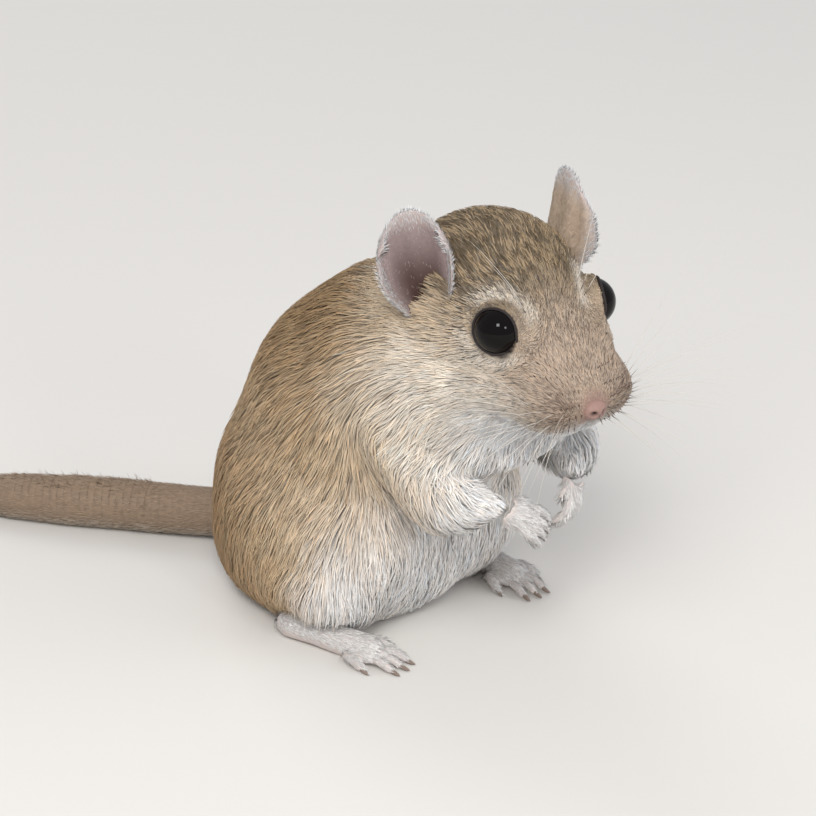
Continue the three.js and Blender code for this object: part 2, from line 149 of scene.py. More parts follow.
# %% Camera
AIM = np.array([0.0, 0.0, 29.8])
AZIMUTH = -48.0
ELEVATION = 25.0
DISTANCE = 430.0
PIXELS_PER_MM = 7.4
IMAGE_PIXELS = 816
SENSOR = 36.0

azimuth = math.radians(AZIMUTH)
elevation = math.radians(ELEVATION)
toward = np.array([math.sin(azimuth) * math.cos(elevation), -math.cos(azimuth) * math.cos(elevation),
                   math.sin(elevation)])
camera_data = bpy.data.cameras.new("camera")
camera_data.sensor_width = SENSOR
camera_data.lens = PIXELS_PER_MM * DISTANCE / IMAGE_PIXELS * SENSOR
camera_data.clip_start = 10 * MM
camera = bpy.data.objects.new("camera", camera_data)
camera.location = Vector(to_frame(AIM + toward * DISTANCE))
camera.rotation_euler = Vector(-toward).to_track_quat("-Z", "Y").to_euler()
bpy.context.scene.collection.objects.link(camera)
bpy.context.scene.camera = camera
print("camera lens", round(camera_data.lens, 1), "mm")

# %% [markdown]
# ## Materials by group
# Fur, skin and horn all get their colour from one attribute that the script computes from the place on
# the body, so skin and coat carry the same markings. A small node group breaks that colour up finely,
# and each material places it with its own values.


# %% A shared group that varies a colour
def group_socket(group, name, kind, value=None, out=False):
    side = "OUTPUT" if out else "INPUT"
    socket = group.interface.new_socket(name=name, in_out=side, socket_type=kind)
    if value is not None:
        socket.default_value = value
    return socket


def mottle_group():
    group = bpy.data.node_groups.new("mottle", "ShaderNodeTree")
    group_socket(group, "Colour", "NodeSocketColor", (0.5, 0.5, 0.5, 1))
    group_socket(group, "Scale", "NodeSocketFloat", 300.0)
    group_socket(group, "Depth", "NodeSocketFloat", 0.3)
    group_socket(group, "Colour", "NodeSocketColor", out=True)
    group_socket(group, "Height", "NodeSocketFloat", out=True)
    nodes, links = group.nodes, group.links
    start = nodes.new("NodeGroupInput")
    end = nodes.new("NodeGroupOutput")
    place = nodes.new("ShaderNodeTexCoord")
    noise = nodes.new("ShaderNodeTexNoise")
    noise.inputs["Detail"].default_value = 4.0
    links.new(place.outputs["Object"], noise.inputs["Vector"])
    links.new(start.outputs["Scale"], noise.inputs["Scale"])
    spread = nodes.new("ShaderNodeMath")
    spread.operation = "SUBTRACT"
    spread.inputs[1].default_value = 0.5
    links.new(noise.outputs["Fac"], spread.inputs[0])
    swing = nodes.new("ShaderNodeMath")
    swing.operation = "MULTIPLY_ADD"
    swing.inputs[2].default_value = 1.0
    links.new(spread.outputs[0], swing.inputs[0])
    links.new(start.outputs["Depth"], swing.inputs[1])
    tinted = nodes.new("ShaderNodeVectorMath")
    tinted.operation = "SCALE"
    links.new(start.outputs["Colour"], tinted.inputs[0])
    links.new(swing.outputs[0], tinted.inputs["Scale"])
    links.new(tinted.outputs[0], end.inputs["Colour"])
    links.new(noise.outputs["Fac"], end.inputs["Height"])
    return group


MOTTLE = mottle_group()


BUMP_STRENGTH = 0.6


def painted(name, attribute, roughness, scale, depth, bump=0.0, **sockets):
    """A finish that breaks up the painted colour finely; bump is the height of its relief in metres."""
    material = bpy.data.materials.new(name)
    material.use_nodes = True
    nodes, links = material.node_tree.nodes, material.node_tree.links
    surface = nodes["Principled BSDF"]
    colour = nodes.new("ShaderNodeAttribute")
    colour.attribute_name = attribute
    mottle = nodes.new("ShaderNodeGroup")
    mottle.node_tree = MOTTLE
    mottle.inputs["Scale"].default_value = scale
    mottle.inputs["Depth"].default_value = depth
    links.new(colour.outputs["Color"], mottle.inputs["Colour"])
    links.new(mottle.outputs["Colour"], surface.inputs["Base Color"])
    if bump:
        relief = nodes.new("ShaderNodeBump")
        relief.inputs["Distance"].default_value = bump
        relief.inputs["Strength"].default_value = BUMP_STRENGTH
        links.new(mottle.outputs["Height"], relief.inputs["Height"])
        links.new(relief.outputs["Normal"], surface.inputs["Normal"])
    surface.inputs["Roughness"].default_value = roughness
    for socket, value in sockets.items():
        surface.inputs[socket.replace("_", " ")].default_value = value
    return material


COLOUR = "coat_colour"
fur_material = painted("fur", COLOUR, 0.62, 700.0, 0.25, Specular_IOR_Level=0.25)
skin_material = painted("furred_skin", COLOUR, 0.75, 2500.0, 0.5, 0.0003, Specular_IOR_Level=0.2)
bare_material = painted("bare_skin", COLOUR, 0.5, 1800.0, 0.35, 0.0001, Specular_IOR_Level=0.4)
horn_material = painted("horn", COLOUR, 0.3, 900.0, 0.3, Specular_IOR_Level=0.5)
print("materials:", [m.name for m in bpy.data.materials])

# %% [markdown]
# ## Mesh from arrays
# Each piece is worked out as arrays of points and triangles. One helper turns such arrays into a mesh,
# with its colour attribute and, for the coat, the map that keeps each tuft's colour apart.


# %% Mesh helpers
def mesh_from(name, points, faces, colours=None, uvs=None, normals=None):
    points, faces = np.asarray(points, np.float64), np.asarray(faces, np.int32)
    corners = faces.shape[1]
    mesh = bpy.data.meshes.new(name)
    mesh.vertices.add(len(points))
    mesh.vertices.foreach_set("co", to_frame(points).astype(np.float32).ravel())
    mesh.loops.add(faces.size)
    mesh.loops.foreach_set("vertex_index", faces.ravel())
    mesh.polygons.add(len(faces))
    mesh.polygons.foreach_set("loop_start", np.arange(0, faces.size, corners, dtype=np.int32))
    mesh.update(calc_edges=True)
    mesh.polygons.foreach_set("use_smooth", np.ones(len(faces), bool))
    if colours is not None:
        paint(mesh, colours)
    if uvs is not None:
        layer = mesh.uv_layers.new(name="OFBake")
        layer.data.foreach_set("uv", np.asarray(uvs, np.float32)[faces.ravel()].ravel())
    if normals is not None:
        mesh.normals_split_custom_set_from_vertices(normals.tolist())
    return mesh


def paint(mesh, colours):
    layer = mesh.color_attributes.new(name=COLOUR, type="FLOAT_COLOR", domain="POINT")
    rgba = np.ones((len(mesh.vertices), 4), np.float32)
    rgba[:, :3] = np.clip(colours, 0, 1)
    layer.data.foreach_set("color", rgba.ravel())


def piece_from(name, mesh, slot, *materials):
    piece = bpy.data.objects.new(name, mesh)
    bpy.context.scene.collection.objects.link(piece)
    for material in materials:
        piece.data.materials.append(material)
    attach(piece, "root")
    return piece


def points_of(mesh):
    flat = np.empty(len(mesh.vertices) * 3, np.float32)
    mesh.vertices.foreach_get("co", flat)
    return from_frame(flat.reshape(-1, 3).astype(np.float64))


def triangles_of(mesh):
    mesh.calc_loop_triangles()
    flat = np.empty(len(mesh.loop_triangles) * 3, np.int32)
    mesh.loop_triangles.foreach_get("vertices", flat)
    return flat.reshape(-1, 3)


def vertex_normals(points, triangles):
    a, b, c = (points[triangles[:, i]] for i in range(3))
    face = np.cross(b - a, c - a)
    total = np.stack([sum(np.bincount(triangles[:, i], face[:, k], len(points)) for i in range(3))
                      for k in range(3)], axis=1)
    return unit(total)


def relax(points, triangles, rounds, share):
    """Moves each point towards the mean of its neighbours; share may differ from point to point."""
    start = np.concatenate([triangles[:, 0], triangles[:, 1], triangles[:, 2]])
    end = np.concatenate([triangles[:, 1], triangles[:, 2], triangles[:, 0]])
    count = np.bincount(start, minlength=len(points))[:, None]
    for _ in range(rounds):
        mean = np.stack([np.bincount(start, points[end, k], len(points)) for k in range(3)], axis=1) / count
        points = points + (mean - points) * share
    return points


# %% [markdown]
# ## Skin
# The solids of flesh are parted by thin cuts. Copies of them are grown a little so that they touch,
# and remeshed by voxels into one closed surface. The eye solids take part, so that no socket gapes.
# Relaxing the surface takes the facets away. Last, it sinks below the outline by the depth of the coat,
# which is thin on the snout and thick on the back, and is drawn close round each eye.

# %% Join the solids of the body
BODY_NODES = ["head", "neck", "torso", "eye_right", "eye_left"] + [
    f"{part}_{side}" for part in ("haunch", "shank", "upper_arm", "forearm") for side in SIDES]
GROW = 0.26
VOXEL = 0.4
SAME_POINT = 1e-7


def remeshed(names, voxel, grow):
    shape = bmesh.new()
    for name in names:
        shape.from_mesh(frame["nodes"][name].data)
    bmesh.ops.remove_doubles(shape, verts=shape.verts, dist=SAME_POINT)
    shape.normal_update()
    for vertex in shape.verts:
        vertex.co += vertex.normal * grow * MM
    mesh = bpy.data.meshes.new("rough")
    shape.to_mesh(mesh)
    shape.free()
    rough = bpy.data.objects.new("rough", mesh)
    bpy.context.scene.collection.objects.link(rough)
    remesh = rough.modifiers.new("remesh", "REMESH")
    remesh.mode = "VOXEL"
    remesh.voxel_size = voxel * MM
    evaluated = rough.evaluated_get(bpy.context.evaluated_depsgraph_get())
    result = bpy.data.meshes.new_from_object(evaluated)
    bpy.data.objects.remove(rough)
    return largest(points_of(result), triangles_of(result))


def largest(points, triangles):
    """Keeps the largest connected surface, so that no sealed hollow stays inside."""
    label = np.arange(len(points))
    while True:
        low = label[triangles].min(axis=1)
        fresh = label.copy()
        for i in range(3):
            np.minimum.at(fresh, triangles[:, i], low)
        fresh = fresh[fresh]
        if (fresh == label).all():
            break
        label = fresh
    keep = label == np.bincount(label).argmax()
    number = np.cumsum(keep) - 1
    return points[keep], number[triangles[keep[triangles[:, 0]]]]


outer, body_faces = remeshed(BODY_NODES, VOXEL, GROW)
print("joined body:", len(outer), "points", len(body_faces), "triangles")

# %% [markdown]
# ## Where on the animal
# Depth, hair length, lie and colour all change from place to place. Each is a formula of the place:
# soft ellipsoids name the regions, as a painter would block them in.

# %% Regions
NOSE = np.array([0.0, -18.5, -4.0])
WRISTS = {"right": np.array([-6.8, -22.4, 25.0]), "left": np.array([4.8, -24.9, 26.2])}
EYE_LOOKS = unit([0.86, -0.42, 0.27])
LID_ANGLE = 1.14
ELBOWS = {"right": np.array([-11.6, -15.4, 25.0]), "left": np.array([11.6, -18.6, 27.5])}
ANKLES = {"right": np.array([-17.8, 0.8, 3.4]), "left": np.array([15.9, 0.8, 3.4])}


def region(points, centre, radii, edge=0.35):
    """One inside an ellipsoid, falling softly to zero outside it."""
    reach = np.linalg.norm((points - np.asarray(centre)) / np.asarray(radii), axis=-1)
    return 1 - smooth(1 - edge, 1 + edge, reach)


def both(points, centre, radii, edge=0.35):
    """The same region on the right and the left side."""
    return np.maximum(*(region(points, mirror(centre, side), radii, edge) for side in SIDES.values()))


def headness(points):
    return region(in_head(points), (0, -3, -1), (15.5, 21, 14), 0.14)


def eye_distance(local):
    return np.minimum(*(np.linalg.norm(local - mirror(EYE_IN_HEAD, side), axis=-1)
                        for side in SIDES.values()))


def eye_angle(local):
    """How far round from the way an eye looks each place lies, for the nearer eye."""
    return np.minimum(*(np.arccos(np.clip((unit(local - mirror(EYE_IN_HEAD, side)) * mirror(EYE_LOOKS, side))
                                          .sum(axis=-1), -1, 1)) for side in SIDES.values()))


def snoutness(points):
    return headness(points) * smooth(-4, -9, in_head(points)[:, 1])


def near(points, places):
    return np.min([np.linalg.norm(points - place, axis=-1) for place in places.values()], axis=0)


# %% [markdown]
# The coat is as deep as the fur stands off the skin: a fraction of a millimetre on the snout and
# round the eyes, a little over two on the flanks.

# %% Depth of the coat
BODY_DEPTH = 2.3
CROWN_DEPTH = 1.3
SNOUT_DEPTH = 0.45
LIMB_DEPTH = 0.45
LEFT_AT_EYE = 0.3
LEFT_AT_NOSE = 0.15


def coat_depth(points):
    local = in_head(points)
    snout = smooth(-3, -16, local[:, 1])
    head = CROWN_DEPTH + (SNOUT_DEPTH - CROWN_DEPTH) * snout
    from_nose = np.linalg.norm(local - NOSE, axis=1)
    head = head * (LEFT_AT_EYE + (1 - LEFT_AT_EYE) * smooth(3.2, 6.0, eye_distance(local)))
    head = head * (LEFT_AT_NOSE + (1 - LEFT_AT_NOSE) * smooth(1.6, 4.5, from_nose))
    share = headness(points)
    depth = head * share + BODY_DEPTH * (1 - share)
    off_limbs = smooth(4.0, 12.0, near(points, WRISTS)) * smooth(3.5, 10.0, near(points, ANKLES))
    on_body = (np.maximum(depth, LIMB_DEPTH) - LIMB_DEPTH) * off_limbs * (1 - share)
    return LIMB_DEPTH + on_body + (depth - LIMB_DEPTH) * share


BEHIND_EYE = 0.3
OVER_EYE = 0.1
EYE_REACH = 5.2


def hug_eyes(points):
    """Draws the skin round each eye close to the ball, and behind it inside the opening of the lids."""
    local = in_head(points)
    for side in SIDES.values():
        spoke = local - mirror(EYE_IN_HEAD, side)
        distance = np.linalg.norm(spoke, axis=1)
        angle = np.arccos(np.clip(spoke @ mirror(EYE_LOOKS, side) / np.maximum(distance, 1e-6), -1, 1))
        rest = EYE_RADIUS + OVER_EYE + (distance - EYE_RADIUS) * smooth(3.2, EYE_REACH, distance)
        inside = smooth(LID_ANGLE + 0.08, LID_ANGLE - 0.04, angle)
        wanted = rest + (EYE_RADIUS - BEHIND_EYE - rest) * inside
        moved = np.where(distance < EYE_REACH, wanted, distance)
        local = mirror(EYE_IN_HEAD, side) + spoke * (moved / np.maximum(distance, 1e-6))[:, None]
    return out_of_head(local)


BODY_RELAX = 0.5
HEAD_KEEPS = 0.75
RELAX_ROUNDS = 36
relax_share = BODY_RELAX * (1 - HEAD_KEEPS * headness(outer))[:, None]
outer = relax(outer, body_faces, RELAX_ROUNDS, relax_share)
outline_normals = vertex_normals(outer, body_faces)
skin_points = outer - outline_normals * (coat_depth(outer)[:, None] + GROW)
skin_points = hug_eyes(relax(skin_points, body_faces, 4, 0.4))
skin_normals = vertex_normals(skin_points, body_faces)
print("coat depth from", coat_depth(outer).min().round(2), "to", coat_depth(outer).max().round(2), "mm")

# %% [markdown]
# ## Markings
# The back and the crown are tan with dark hair tips, the flank pales downwards, and belly, thighs,
# chin and feet are white. A pale ring lies round the eye, a pale spot below the ear, and dark specks on
# the pads of the whiskers. Each patch below has a middle, radii, softness, strength and colour. The same
# function colours the skin and every tuft, so that both carry the same markings.

# %% Markings
TAN = (0.45, 0.325, 0.20)
SADDLE = (0.25, 0.16, 0.08)
RUST = (0.26, 0.16, 0.08)
SAND = (0.52, 0.41, 0.29)
PALE_SAND = (0.59, 0.49, 0.37)
CREAM = (0.68, 0.61, 0.52)
WHITE = (0.70, 0.68, 0.66)
SNOW = (0.77, 0.77, 0.78)
CROWN = (0.30, 0.22, 0.135)
SNOUT_TAN = (0.43, 0.325, 0.24)
PINK = (0.31, 0.19, 0.16)
LID = (0.018, 0.013, 0.012)
SPECK = (0.12, 0.07, 0.055)


def lay(colours, mask, paint_colour):
    return colours + (np.asarray(paint_colour) - colours) * np.clip(mask, 0, 1)[:, None]


BODY_PATCHES = (
    (region, (0, 9, 48), (15, 25, 15), 0.5, 0.9, SADDLE),
    (region, (0, 26, 14), (25, 18, 22), 0.45, 0.85, RUST),
    (both, (17, -4, 24), (8, 10, 8), 0.5, 0.75, SAND),
    (both, (14, -11, 38), (7, 8, 9), 0.5, 0.8, PALE_SAND),
    (both, (12, -18, 34), (8, 7, 7), 0.4, 0.9, CREAM),
    (region, (0, -23, 32), (15, 9, 12), 0.4, 1.0, WHITE),
    (both, (15, -14, 27), (6, 7, 6), 0.5, 0.85, SAND),
    (region, (0, -12, 12), (17, 15.5, 22), 0.4, 1.0, WHITE),
    (both, (19, -6.5, 10), (7, 7.5, 13), 0.45, 1.0, WHITE),
)
CHEEK_AND_CHIN = (
    (both, (10, -7, -7.5), (7, 11, 6), 0.5, 0.9, CREAM),
    (region, (0, -12, -10), (10, 11, 5.2), 0.35, 1.0, SNOW),
)
SPOT_BELOW_EAR = ((both, (12.4, 0.6, -3.6), (2.2, 2.0, 2.2), 0.4, 0.45, CREAM),)


def blocked_in(colours, points, patches):
    """Lays soft ellipsoids of colour one over the other, on the middle line or on both sides."""
    for spread, centre, radii, edge, strength, colour in patches:
        colours = lay(colours, spread(points, centre, radii, edge) * strength, colour)
    return colours


def body_markings(points):
    colours = blocked_in(np.tile(np.asarray(TAN, float), (len(points), 1)), points, BODY_PATCHES)
    colours = lay(colours, smooth(11, 5, near(points, WRISTS)), WHITE)
    return lay(colours, smooth(9, 4, near(points, ELBOWS)) * smooth(-12, -17, points[:, 1]), WHITE)


def head_markings(colours, face, local):
    front = smooth(-6, -13, local[:, 1])
    colours = lay(colours, face * smooth(-9, -3, local[:, 2]), SAND)
    colours = lay(colours, face * smooth(0.5, 7, local[:, 2]) * (1 - 0.8 * front), CROWN)
    colours = lay(colours, face * front * smooth(-9, -4, local[:, 2]), SNOUT_TAN)
    return blocked_in(colours, local, CHEEK_AND_CHIN)


def eye_markings(colours, local):
    """A pale ring above and below each eye, and dark skin along the lid."""
    eyes = eye_distance(local)
    ring = smooth(3.2, 3.7, eyes) * smooth(6.0, 4.2, eyes)
    colours = lay(colours, ring * smooth(0.8, 2.0, np.abs(local[:, 2] - EYE_IN_HEAD[2])) * 0.6, CREAM)
    return lay(colours, smooth(LID_ANGLE + 0.13, LID_ANGLE + 0.06, eye_angle(local)) * (eyes < 4.5), LID)


def markings(points):
    local = in_head(points)
    colours = head_markings(body_markings(points), headness(points), local)
    colours = blocked_in(eye_markings(colours, local), local, SPOT_BELOW_EAR)
    pad = both(local, (4.0, -16.0, -3.4), (2.6, 3.2, 2.3), 0.45)
    specks = smooth(0.05, 0.5, np.sin(local[:, 1] * 4.8) * np.sin(local[:, 2] * 4.8 + local[:, 1]))
    colours = lay(colours, pad * (0.25 + 0.6 * specks), SPECK)
    nose = np.linalg.norm(local - NOSE, axis=1)
    return lay(colours, smooth(3.0, 1.5, nose) * 0.7, PINK)


def grizzle(points):
    """The share of hairs with a dark tip: high on the back and the crown, none on white fur."""
    local = in_head(points)
    back = region(points, (0, 14, 38), (20, 24, 28), 0.4) * 0.34
    crown = headness(points) * smooth(-3, 5, local[:, 2]) * 0.95
    pale = smooth(0.30, 0.55, markings(points)[:, 1])
    snout = snoutness(points) * 0.28 * smooth(-9, -4, local[:, 2])
    return np.maximum(np.maximum(back, crown) * (1 - pale), snout) + 0.02


print("fur colours at the brow, flank and belly:",
      markings(np.array([[-2.6, -21.5, 58.1], [-16.8, 0.4, 36.6], [-10.7, -8.2, 10.7]])).round(2).tolist())

# %% [markdown]
# ## Lie of the coat
# Fur has a direction everywhere. It is set as a groomer would, by strokes of a comb: a list of places
# with the way the hair runs there. Between strokes the nearest ones are blended, and the result is laid
# flat on the skin. Strokes off the middle line are mirrored to the other side.

# %% Strokes of the comb
HEAD_STROKES = [
    ((0, -19, -3), (0, 1, 0.8)), ((0, -13, 3), (0, 1, 0.4)), ((0, -5, 9), (0, 1, 0.3)),
    ((0, 4, 11), (0, 1, -0.1)), ((0, 14, 8), (0, 1, -0.6)), ((5, -16, -4), (0.5, 1, 0.0)),
    ((4, -16, -8), (0.4, 1, -0.5)), ((9, -10, -4), (0.3, 1, -0.45)), ((12, -3, -4), (0.1, 1, -0.7)),
    ((10, -3, -11), (0.15, 0.9, -1)), ((0, -13, -10), (0, 1, -0.5)), ((0, -4, -14), (0, 0.7, -1)),
    ((8, -8, 7), (0.25, 1, 0.2)), ((12, -1, 2), (0, 1, -0.3)), ((10, 0, 8), (0.15, 1, 0.3)),
    ((11, 10, 2), (0, 0.8, -0.9)),
]
BODY_STROKES = [
    ((0, 2, 52), (0, 1, -0.3)), ((0, 12, 45), (0, 0.75, -0.7)), ((0, 22, 33), (0, 0.45, -1)),
    ((0, 28, 20), (0, 0.25, -1)), ((0, 29, 9), (0, 0.5, -1)), ((14, 0, 42), (0.1, 0.9, -0.9)),
    ((17, 8, 33), (0, 0.62, -0.9)), ((19, 10, 24), (0, 0.42, -1)), ((20, 12, 13), (0, 0.22, -1)),
    ((20, 2, 15), (0, 0.12, -1)), ((19, -2, 6), (0, -0.05, -1)), ((19, 10, 4), (0, 0.1, -1)),
    ((16, 2, 28), (0, 0.4, -1)), ((12, -15, 37), (0.25, 0.5, -1)), ((0, -23, 36), (0, 0.1, -1)),
    ((0, -20, 29), (0, 0.1, -1)), ((0, -14, 18), (0, 0.1, -1)), ((0, -8, 6), (0, 0.35, -1)),
    ((12, -11, 12), (0.1, 0.05, -1)), ((15, -8, 34), (0, -0.25, -1)), ((14, -14, 28), (-0.2, -0.6, -1)),
    ((9, -19, 26), (-0.6, -1, -0.3)),
]


def both_sides(strokes):
    return strokes + [((-x, y, z), (-dx, dy, dz)) for (x, y, z), (dx, dy, dz) in strokes if x > 0]


head_places, head_ways = (np.array(part, float) for part in zip(*both_sides(HEAD_STROKES)))
body_places, body_ways = (np.array(part, float) for part in zip(*both_sides(BODY_STROKES)))
stroke_places = np.concatenate([out_of_head(head_places), body_places])
stroke_ways = unit(np.concatenate([head_ways @ HEAD_TURN.T, body_ways]))
STROKE_SOFTNESS = 9.0


def lie(points, normals):
    """The way the hair runs at each point, flat on the skin."""
    gaps = ((points[:, None, :] - stroke_places[None]) ** 2).sum(axis=2)
    weights = 1 / (gaps + STROKE_SOFTNESS) ** 2
    ways = weights @ stroke_ways
    ways -= (ways * normals).sum(axis=1, keepdims=True) * normals
    return unit(ways)


print("strokes of the comb:", len(stroke_places))

# %% [markdown]
# ## Ears
# An ear is a thin cup that unrolls from a narrow root to a round tip. It is made as one grid for the
# inner and the outer face, joined round the rim, so that its two faces never cross. Folds run up the
# inside, and the rim rolls inwards a little.

# %% Ears
EAR_LENGTH = 14.8
EAR_WIDTH = 11.5
EAR_AT = np.array([9.4, 4.5, -0.7])
EAR_TURN = {"back": -8, "out": 17, "open": {"right": 42, "left": 78}}
EAR_THICKNESS = 0.55
EAR_ACROSS, EAR_ALONG = 44, 36


def ear_sheet(u, v, side):
    belly = np.sin(np.pi * np.minimum(v * 0.72 + 0.12, 1))
    half = EAR_WIDTH / 2 * (0.25 + 0.75 * belly) * (1 + 0.22 * smooth(0.6, 1.0, v))
    wrap = 1.6 - 0.85 * np.minimum(v * 1.4, 1)
    bend = half / wrap
    angle = u * wrap
    roll = 0.9 * smooth(0.72, 1.0, np.abs(u)) ** 2 * smooth(0.1, 0.5, v)
    fold = 0.22 * np.cos(u * 9.0) * smooth(0.1, 0.4, v) * smooth(1.0, 0.7, v) * smooth(0.9, 0.6, np.abs(u))
    x = side * bend * np.sin(angle) * (1 - 0.06 * roll)
    y = 1.4 * v * v - bend * (1 - np.cos(angle)) - roll - fold
    z = EAR_LENGTH * v * (1 - 0.34 * v * v * (1 - np.sqrt(1 - 0.97 * u * u)))
    return np.stack([x, y, z], axis=-1)


def ear_to_home(points, name):
    side = SIDES[name]
    angles = [math.radians(EAR_TURN["back"]), math.radians(side * EAR_TURN["out"]),
              math.radians(side * EAR_TURN["open"][name])]
    turns = (Matrix.Rotation(angles[0], 3, "X") @ Matrix.Rotation(angles[1], 3, "Y")
             @ Matrix.Rotation(angles[2], 3, "Z"))
    return out_of_head(points @ np.array(turns).T + mirror(EAR_AT, side))


def grid_faces(across, along):
    """Triangles of a grid of (along + 1) rows of (across + 1) points, as quads cut alike."""
    row = across + 1
    low = (np.arange(along)[:, None] * row + np.arange(across)[None]).ravel()
    return np.concatenate([np.stack([low, low + 1, low + row + 1], 1),
                           np.stack([low, low + row + 1, low + row], 1)])


def closed_sheet(point_at, thickness, across, along):
    v, u = np.meshgrid(np.linspace(0, 1, along + 1), np.linspace(-1, 1, across + 1), indexing="ij")
    u, v = u.ravel(), v.ravel()
    step = 1e-3
    normals = unit(np.cross(point_at(u + step, v) - point_at(u - step, v),
                            point_at(u, v + step) - point_at(u, v - step)))
    middle_points = point_at(u, v)
    half = thickness(u, v)[:, None] / 2
    points = np.concatenate([middle_points + normals * half, middle_points - normals * half])
    front = grid_faces(across, along)
    count, row = len(u), across + 1
    rim = np.concatenate([np.arange(row), np.arange(2, along + 2) * row - 1,
                          along * row + np.arange(across - 1, -1, -1), np.arange(along - 1, 0, -1) * row])
    after = np.roll(rim, -1)
    side_faces = np.concatenate([np.stack([rim, rim + count, after], 1),
                                 np.stack([after, rim + count, after + count], 1)])
    faces = np.concatenate([front, front[:, ::-1] + count, side_faces])
    return points, facing_out(points, faces), np.concatenate([u, u]), np.concatenate([v, v])


def facing_out(points, faces):
    a, b, c = (points[faces[:, i]] for i in range(3))
    volume = (a * np.cross(b, c)).sum()
    return faces if volume > 0 else faces[:, ::-1]


EAR_IN = (0.25, 0.19, 0.185)
EAR_CANAL_SHADE = (0.06, 0.03, 0.026)
EAR_OUT = (0.42, 0.32, 0.25)
EAR_RIM = (0.45, 0.36, 0.33)


def ear(name):
    side = SIDES[name]

    def thickness(u, v):
        return EAR_THICKNESS * (1.25 - 0.55 * v) * (1 - 0.45 * smooth(0.8, 1, np.abs(u)))

    points, faces, u, v = closed_sheet(lambda u, v: ear_sheet(u, v, side), thickness, EAR_ACROSS, EAR_ALONG)
    colours = np.tile(np.asarray(EAR_IN), (len(points), 1))
    # Painted shade: the cup turns near black towards its root and middle, standing in for the shade in the
    # opening of the canal.
    colours = lay(colours, smooth(0.9, 0.3, v) * smooth(0.95, 0.25, np.abs(u)), EAR_CANAL_SHADE)
    middle_line = ear_sheet(u, v, side)
    outward = (points - middle_line)[:, 1] > 0
    colours = lay(colours, outward.astype(float), EAR_OUT)
    colours = lay(colours, smooth(0.82, 1.0, np.maximum(np.abs(u), v)) * 0.8, EAR_RIM)
    step = 0.01
    up = unit(ear_sheet(u, v + step, side) - ear_sheet(u, v - step, side))
    across = unit(ear_sheet(u + step, v, side) - ear_sheet(u - step, v, side))
    ways = unit(up + across * (np.sign(u) * u * u * 0.7)[:, None])
    home = ear_to_home(points, name)
    lie_here = unit(ear_to_home(points + ways, name) - home)
    return {"points": home, "faces": faces, "colours": colours, "u": u, "v": v, "back": outward,
            "ways": lie_here}


ears = {name: ear(name) for name in SIDES}
print("ear triangles:", [len(part["faces"]) for part in ears.values()])

# %% [markdown]
# ## Paws and hind feet
# The solids of paws and feet have every digit in place. A fine remesh melts the joints of each finger
# into the palm as skin does. Claws are separate horn pieces that grow out of the tips.

# %% Paws and feet
DIGIT_VOXEL = 0.17
FOOT_VOXEL = 0.2


def limb_end(node, voxel):
    points, faces = remeshed([node], voxel, 0.0)
    return relax(points, faces, 6, 0.5), faces


ends = {name: limb_end(name, DIGIT_VOXEL if "paw" in name else FOOT_VOXEL)
        for name in ("paw_right", "paw_left", "foot_right", "foot_left")}
print("paws and feet:", {name: len(faces) for name, (points, faces) in ends.items()})

# %% [markdown]
# ## Tail
# The tail of this species is a store of fat: thick, blunt and nearly bare, with faint rings. It follows
# a path, so Geometry Nodes make it: a circle is swept along the curve, scaled at each point by the path's
# own width attribute, and the tree ends in Realize Instances and Set Material. Claws and whiskers use the
# same tree.

# %% Tail by Geometry Nodes
TAIL_THICKNESS = 7.1
TAIL_PATH = [(0, 25.5, 5.6), (-4, 34.5, 4.0), (-9, 44, 3.5), (-14.5, 53, 3.3), (-19.5, 62.5, 3.0),
             (-22.5, 70, 2.2)]
TAIL_SHARES = [0.47, 0.47, 0.5, 0.5, 0.44, 0.3]
TAIL_STEPS = 260
TAIL_SIDES = 30
TIP_STARTS = 0.955
TAIL_RINGS = 46
RING_DEPTH = 0.006


def catmull(points, count):
    """Points spread evenly along a smooth curve through the given ones."""
    points = np.asarray(points, float)
    padded = np.vstack([2 * points[0] - points[1], points, 2 * points[-1] - points[-2]])
    spans = len(points) - 1
    t = np.linspace(0, spans, spans * 40 + 1)
    i = np.minimum(t.astype(int), spans - 1)
    f = (t - i)[:, None]
    a, b, c, d = padded[i], padded[i + 1], padded[i + 2], padded[i + 3]
    fine = 0.5 * (2 * b + (c - a) * f + (2 * a - 5 * b + 4 * c - d) * f ** 2
                  + (3 * b - a - 3 * c + d) * f ** 3)
    run = np.concatenate([[0], np.cumsum(np.linalg.norm(np.diff(fine, axis=0), axis=1))])
    even = np.linspace(0, run[-1], count)
    return np.stack([np.interp(even, run, fine[:, k]) for k in range(fine.shape[1])], axis=1)


def tree_with(name, inputs):
    """An empty Geometry Nodes tree with a geometry in and out and the named inputs."""
    tree = bpy.data.node_groups.new(name, "GeometryNodeTree")
    tree.interface.new_socket(name="Geometry", in_out="INPUT", socket_type="NodeSocketGeometry")
    for label, kind, value in inputs:
        socket = tree.interface.new_socket(name=label, in_out="INPUT", socket_type=kind)
        if value is not None:
            socket.default_value = value
    tree.interface.new_socket(name="Geometry", in_out="OUTPUT", socket_type="NodeSocketGeometry")
    return tree, tree.nodes.new("NodeGroupInput"), tree.nodes.new("NodeGroupOutput")


def grown(name, mesh, tree, values):
    """Runs a tree on a mesh and returns the result as a plain mesh."""
    carrier = bpy.data.objects.new(name, mesh)
    bpy.context.scene.collection.objects.link(carrier)
    modifier = carrier.modifiers.new(name, "NODES")
    modifier.node_group = tree
    for item in tree.interface.items_tree:
        if item.item_type == "SOCKET" and item.in_out == "INPUT" and item.name in values:
            modifier[item.identifier] = values[item.name]
    evaluated = carrier.evaluated_get(bpy.context.evaluated_depsgraph_get())
    result = bpy.data.meshes.new_from_object(evaluated)
    bpy.data.objects.remove(carrier)
    return result


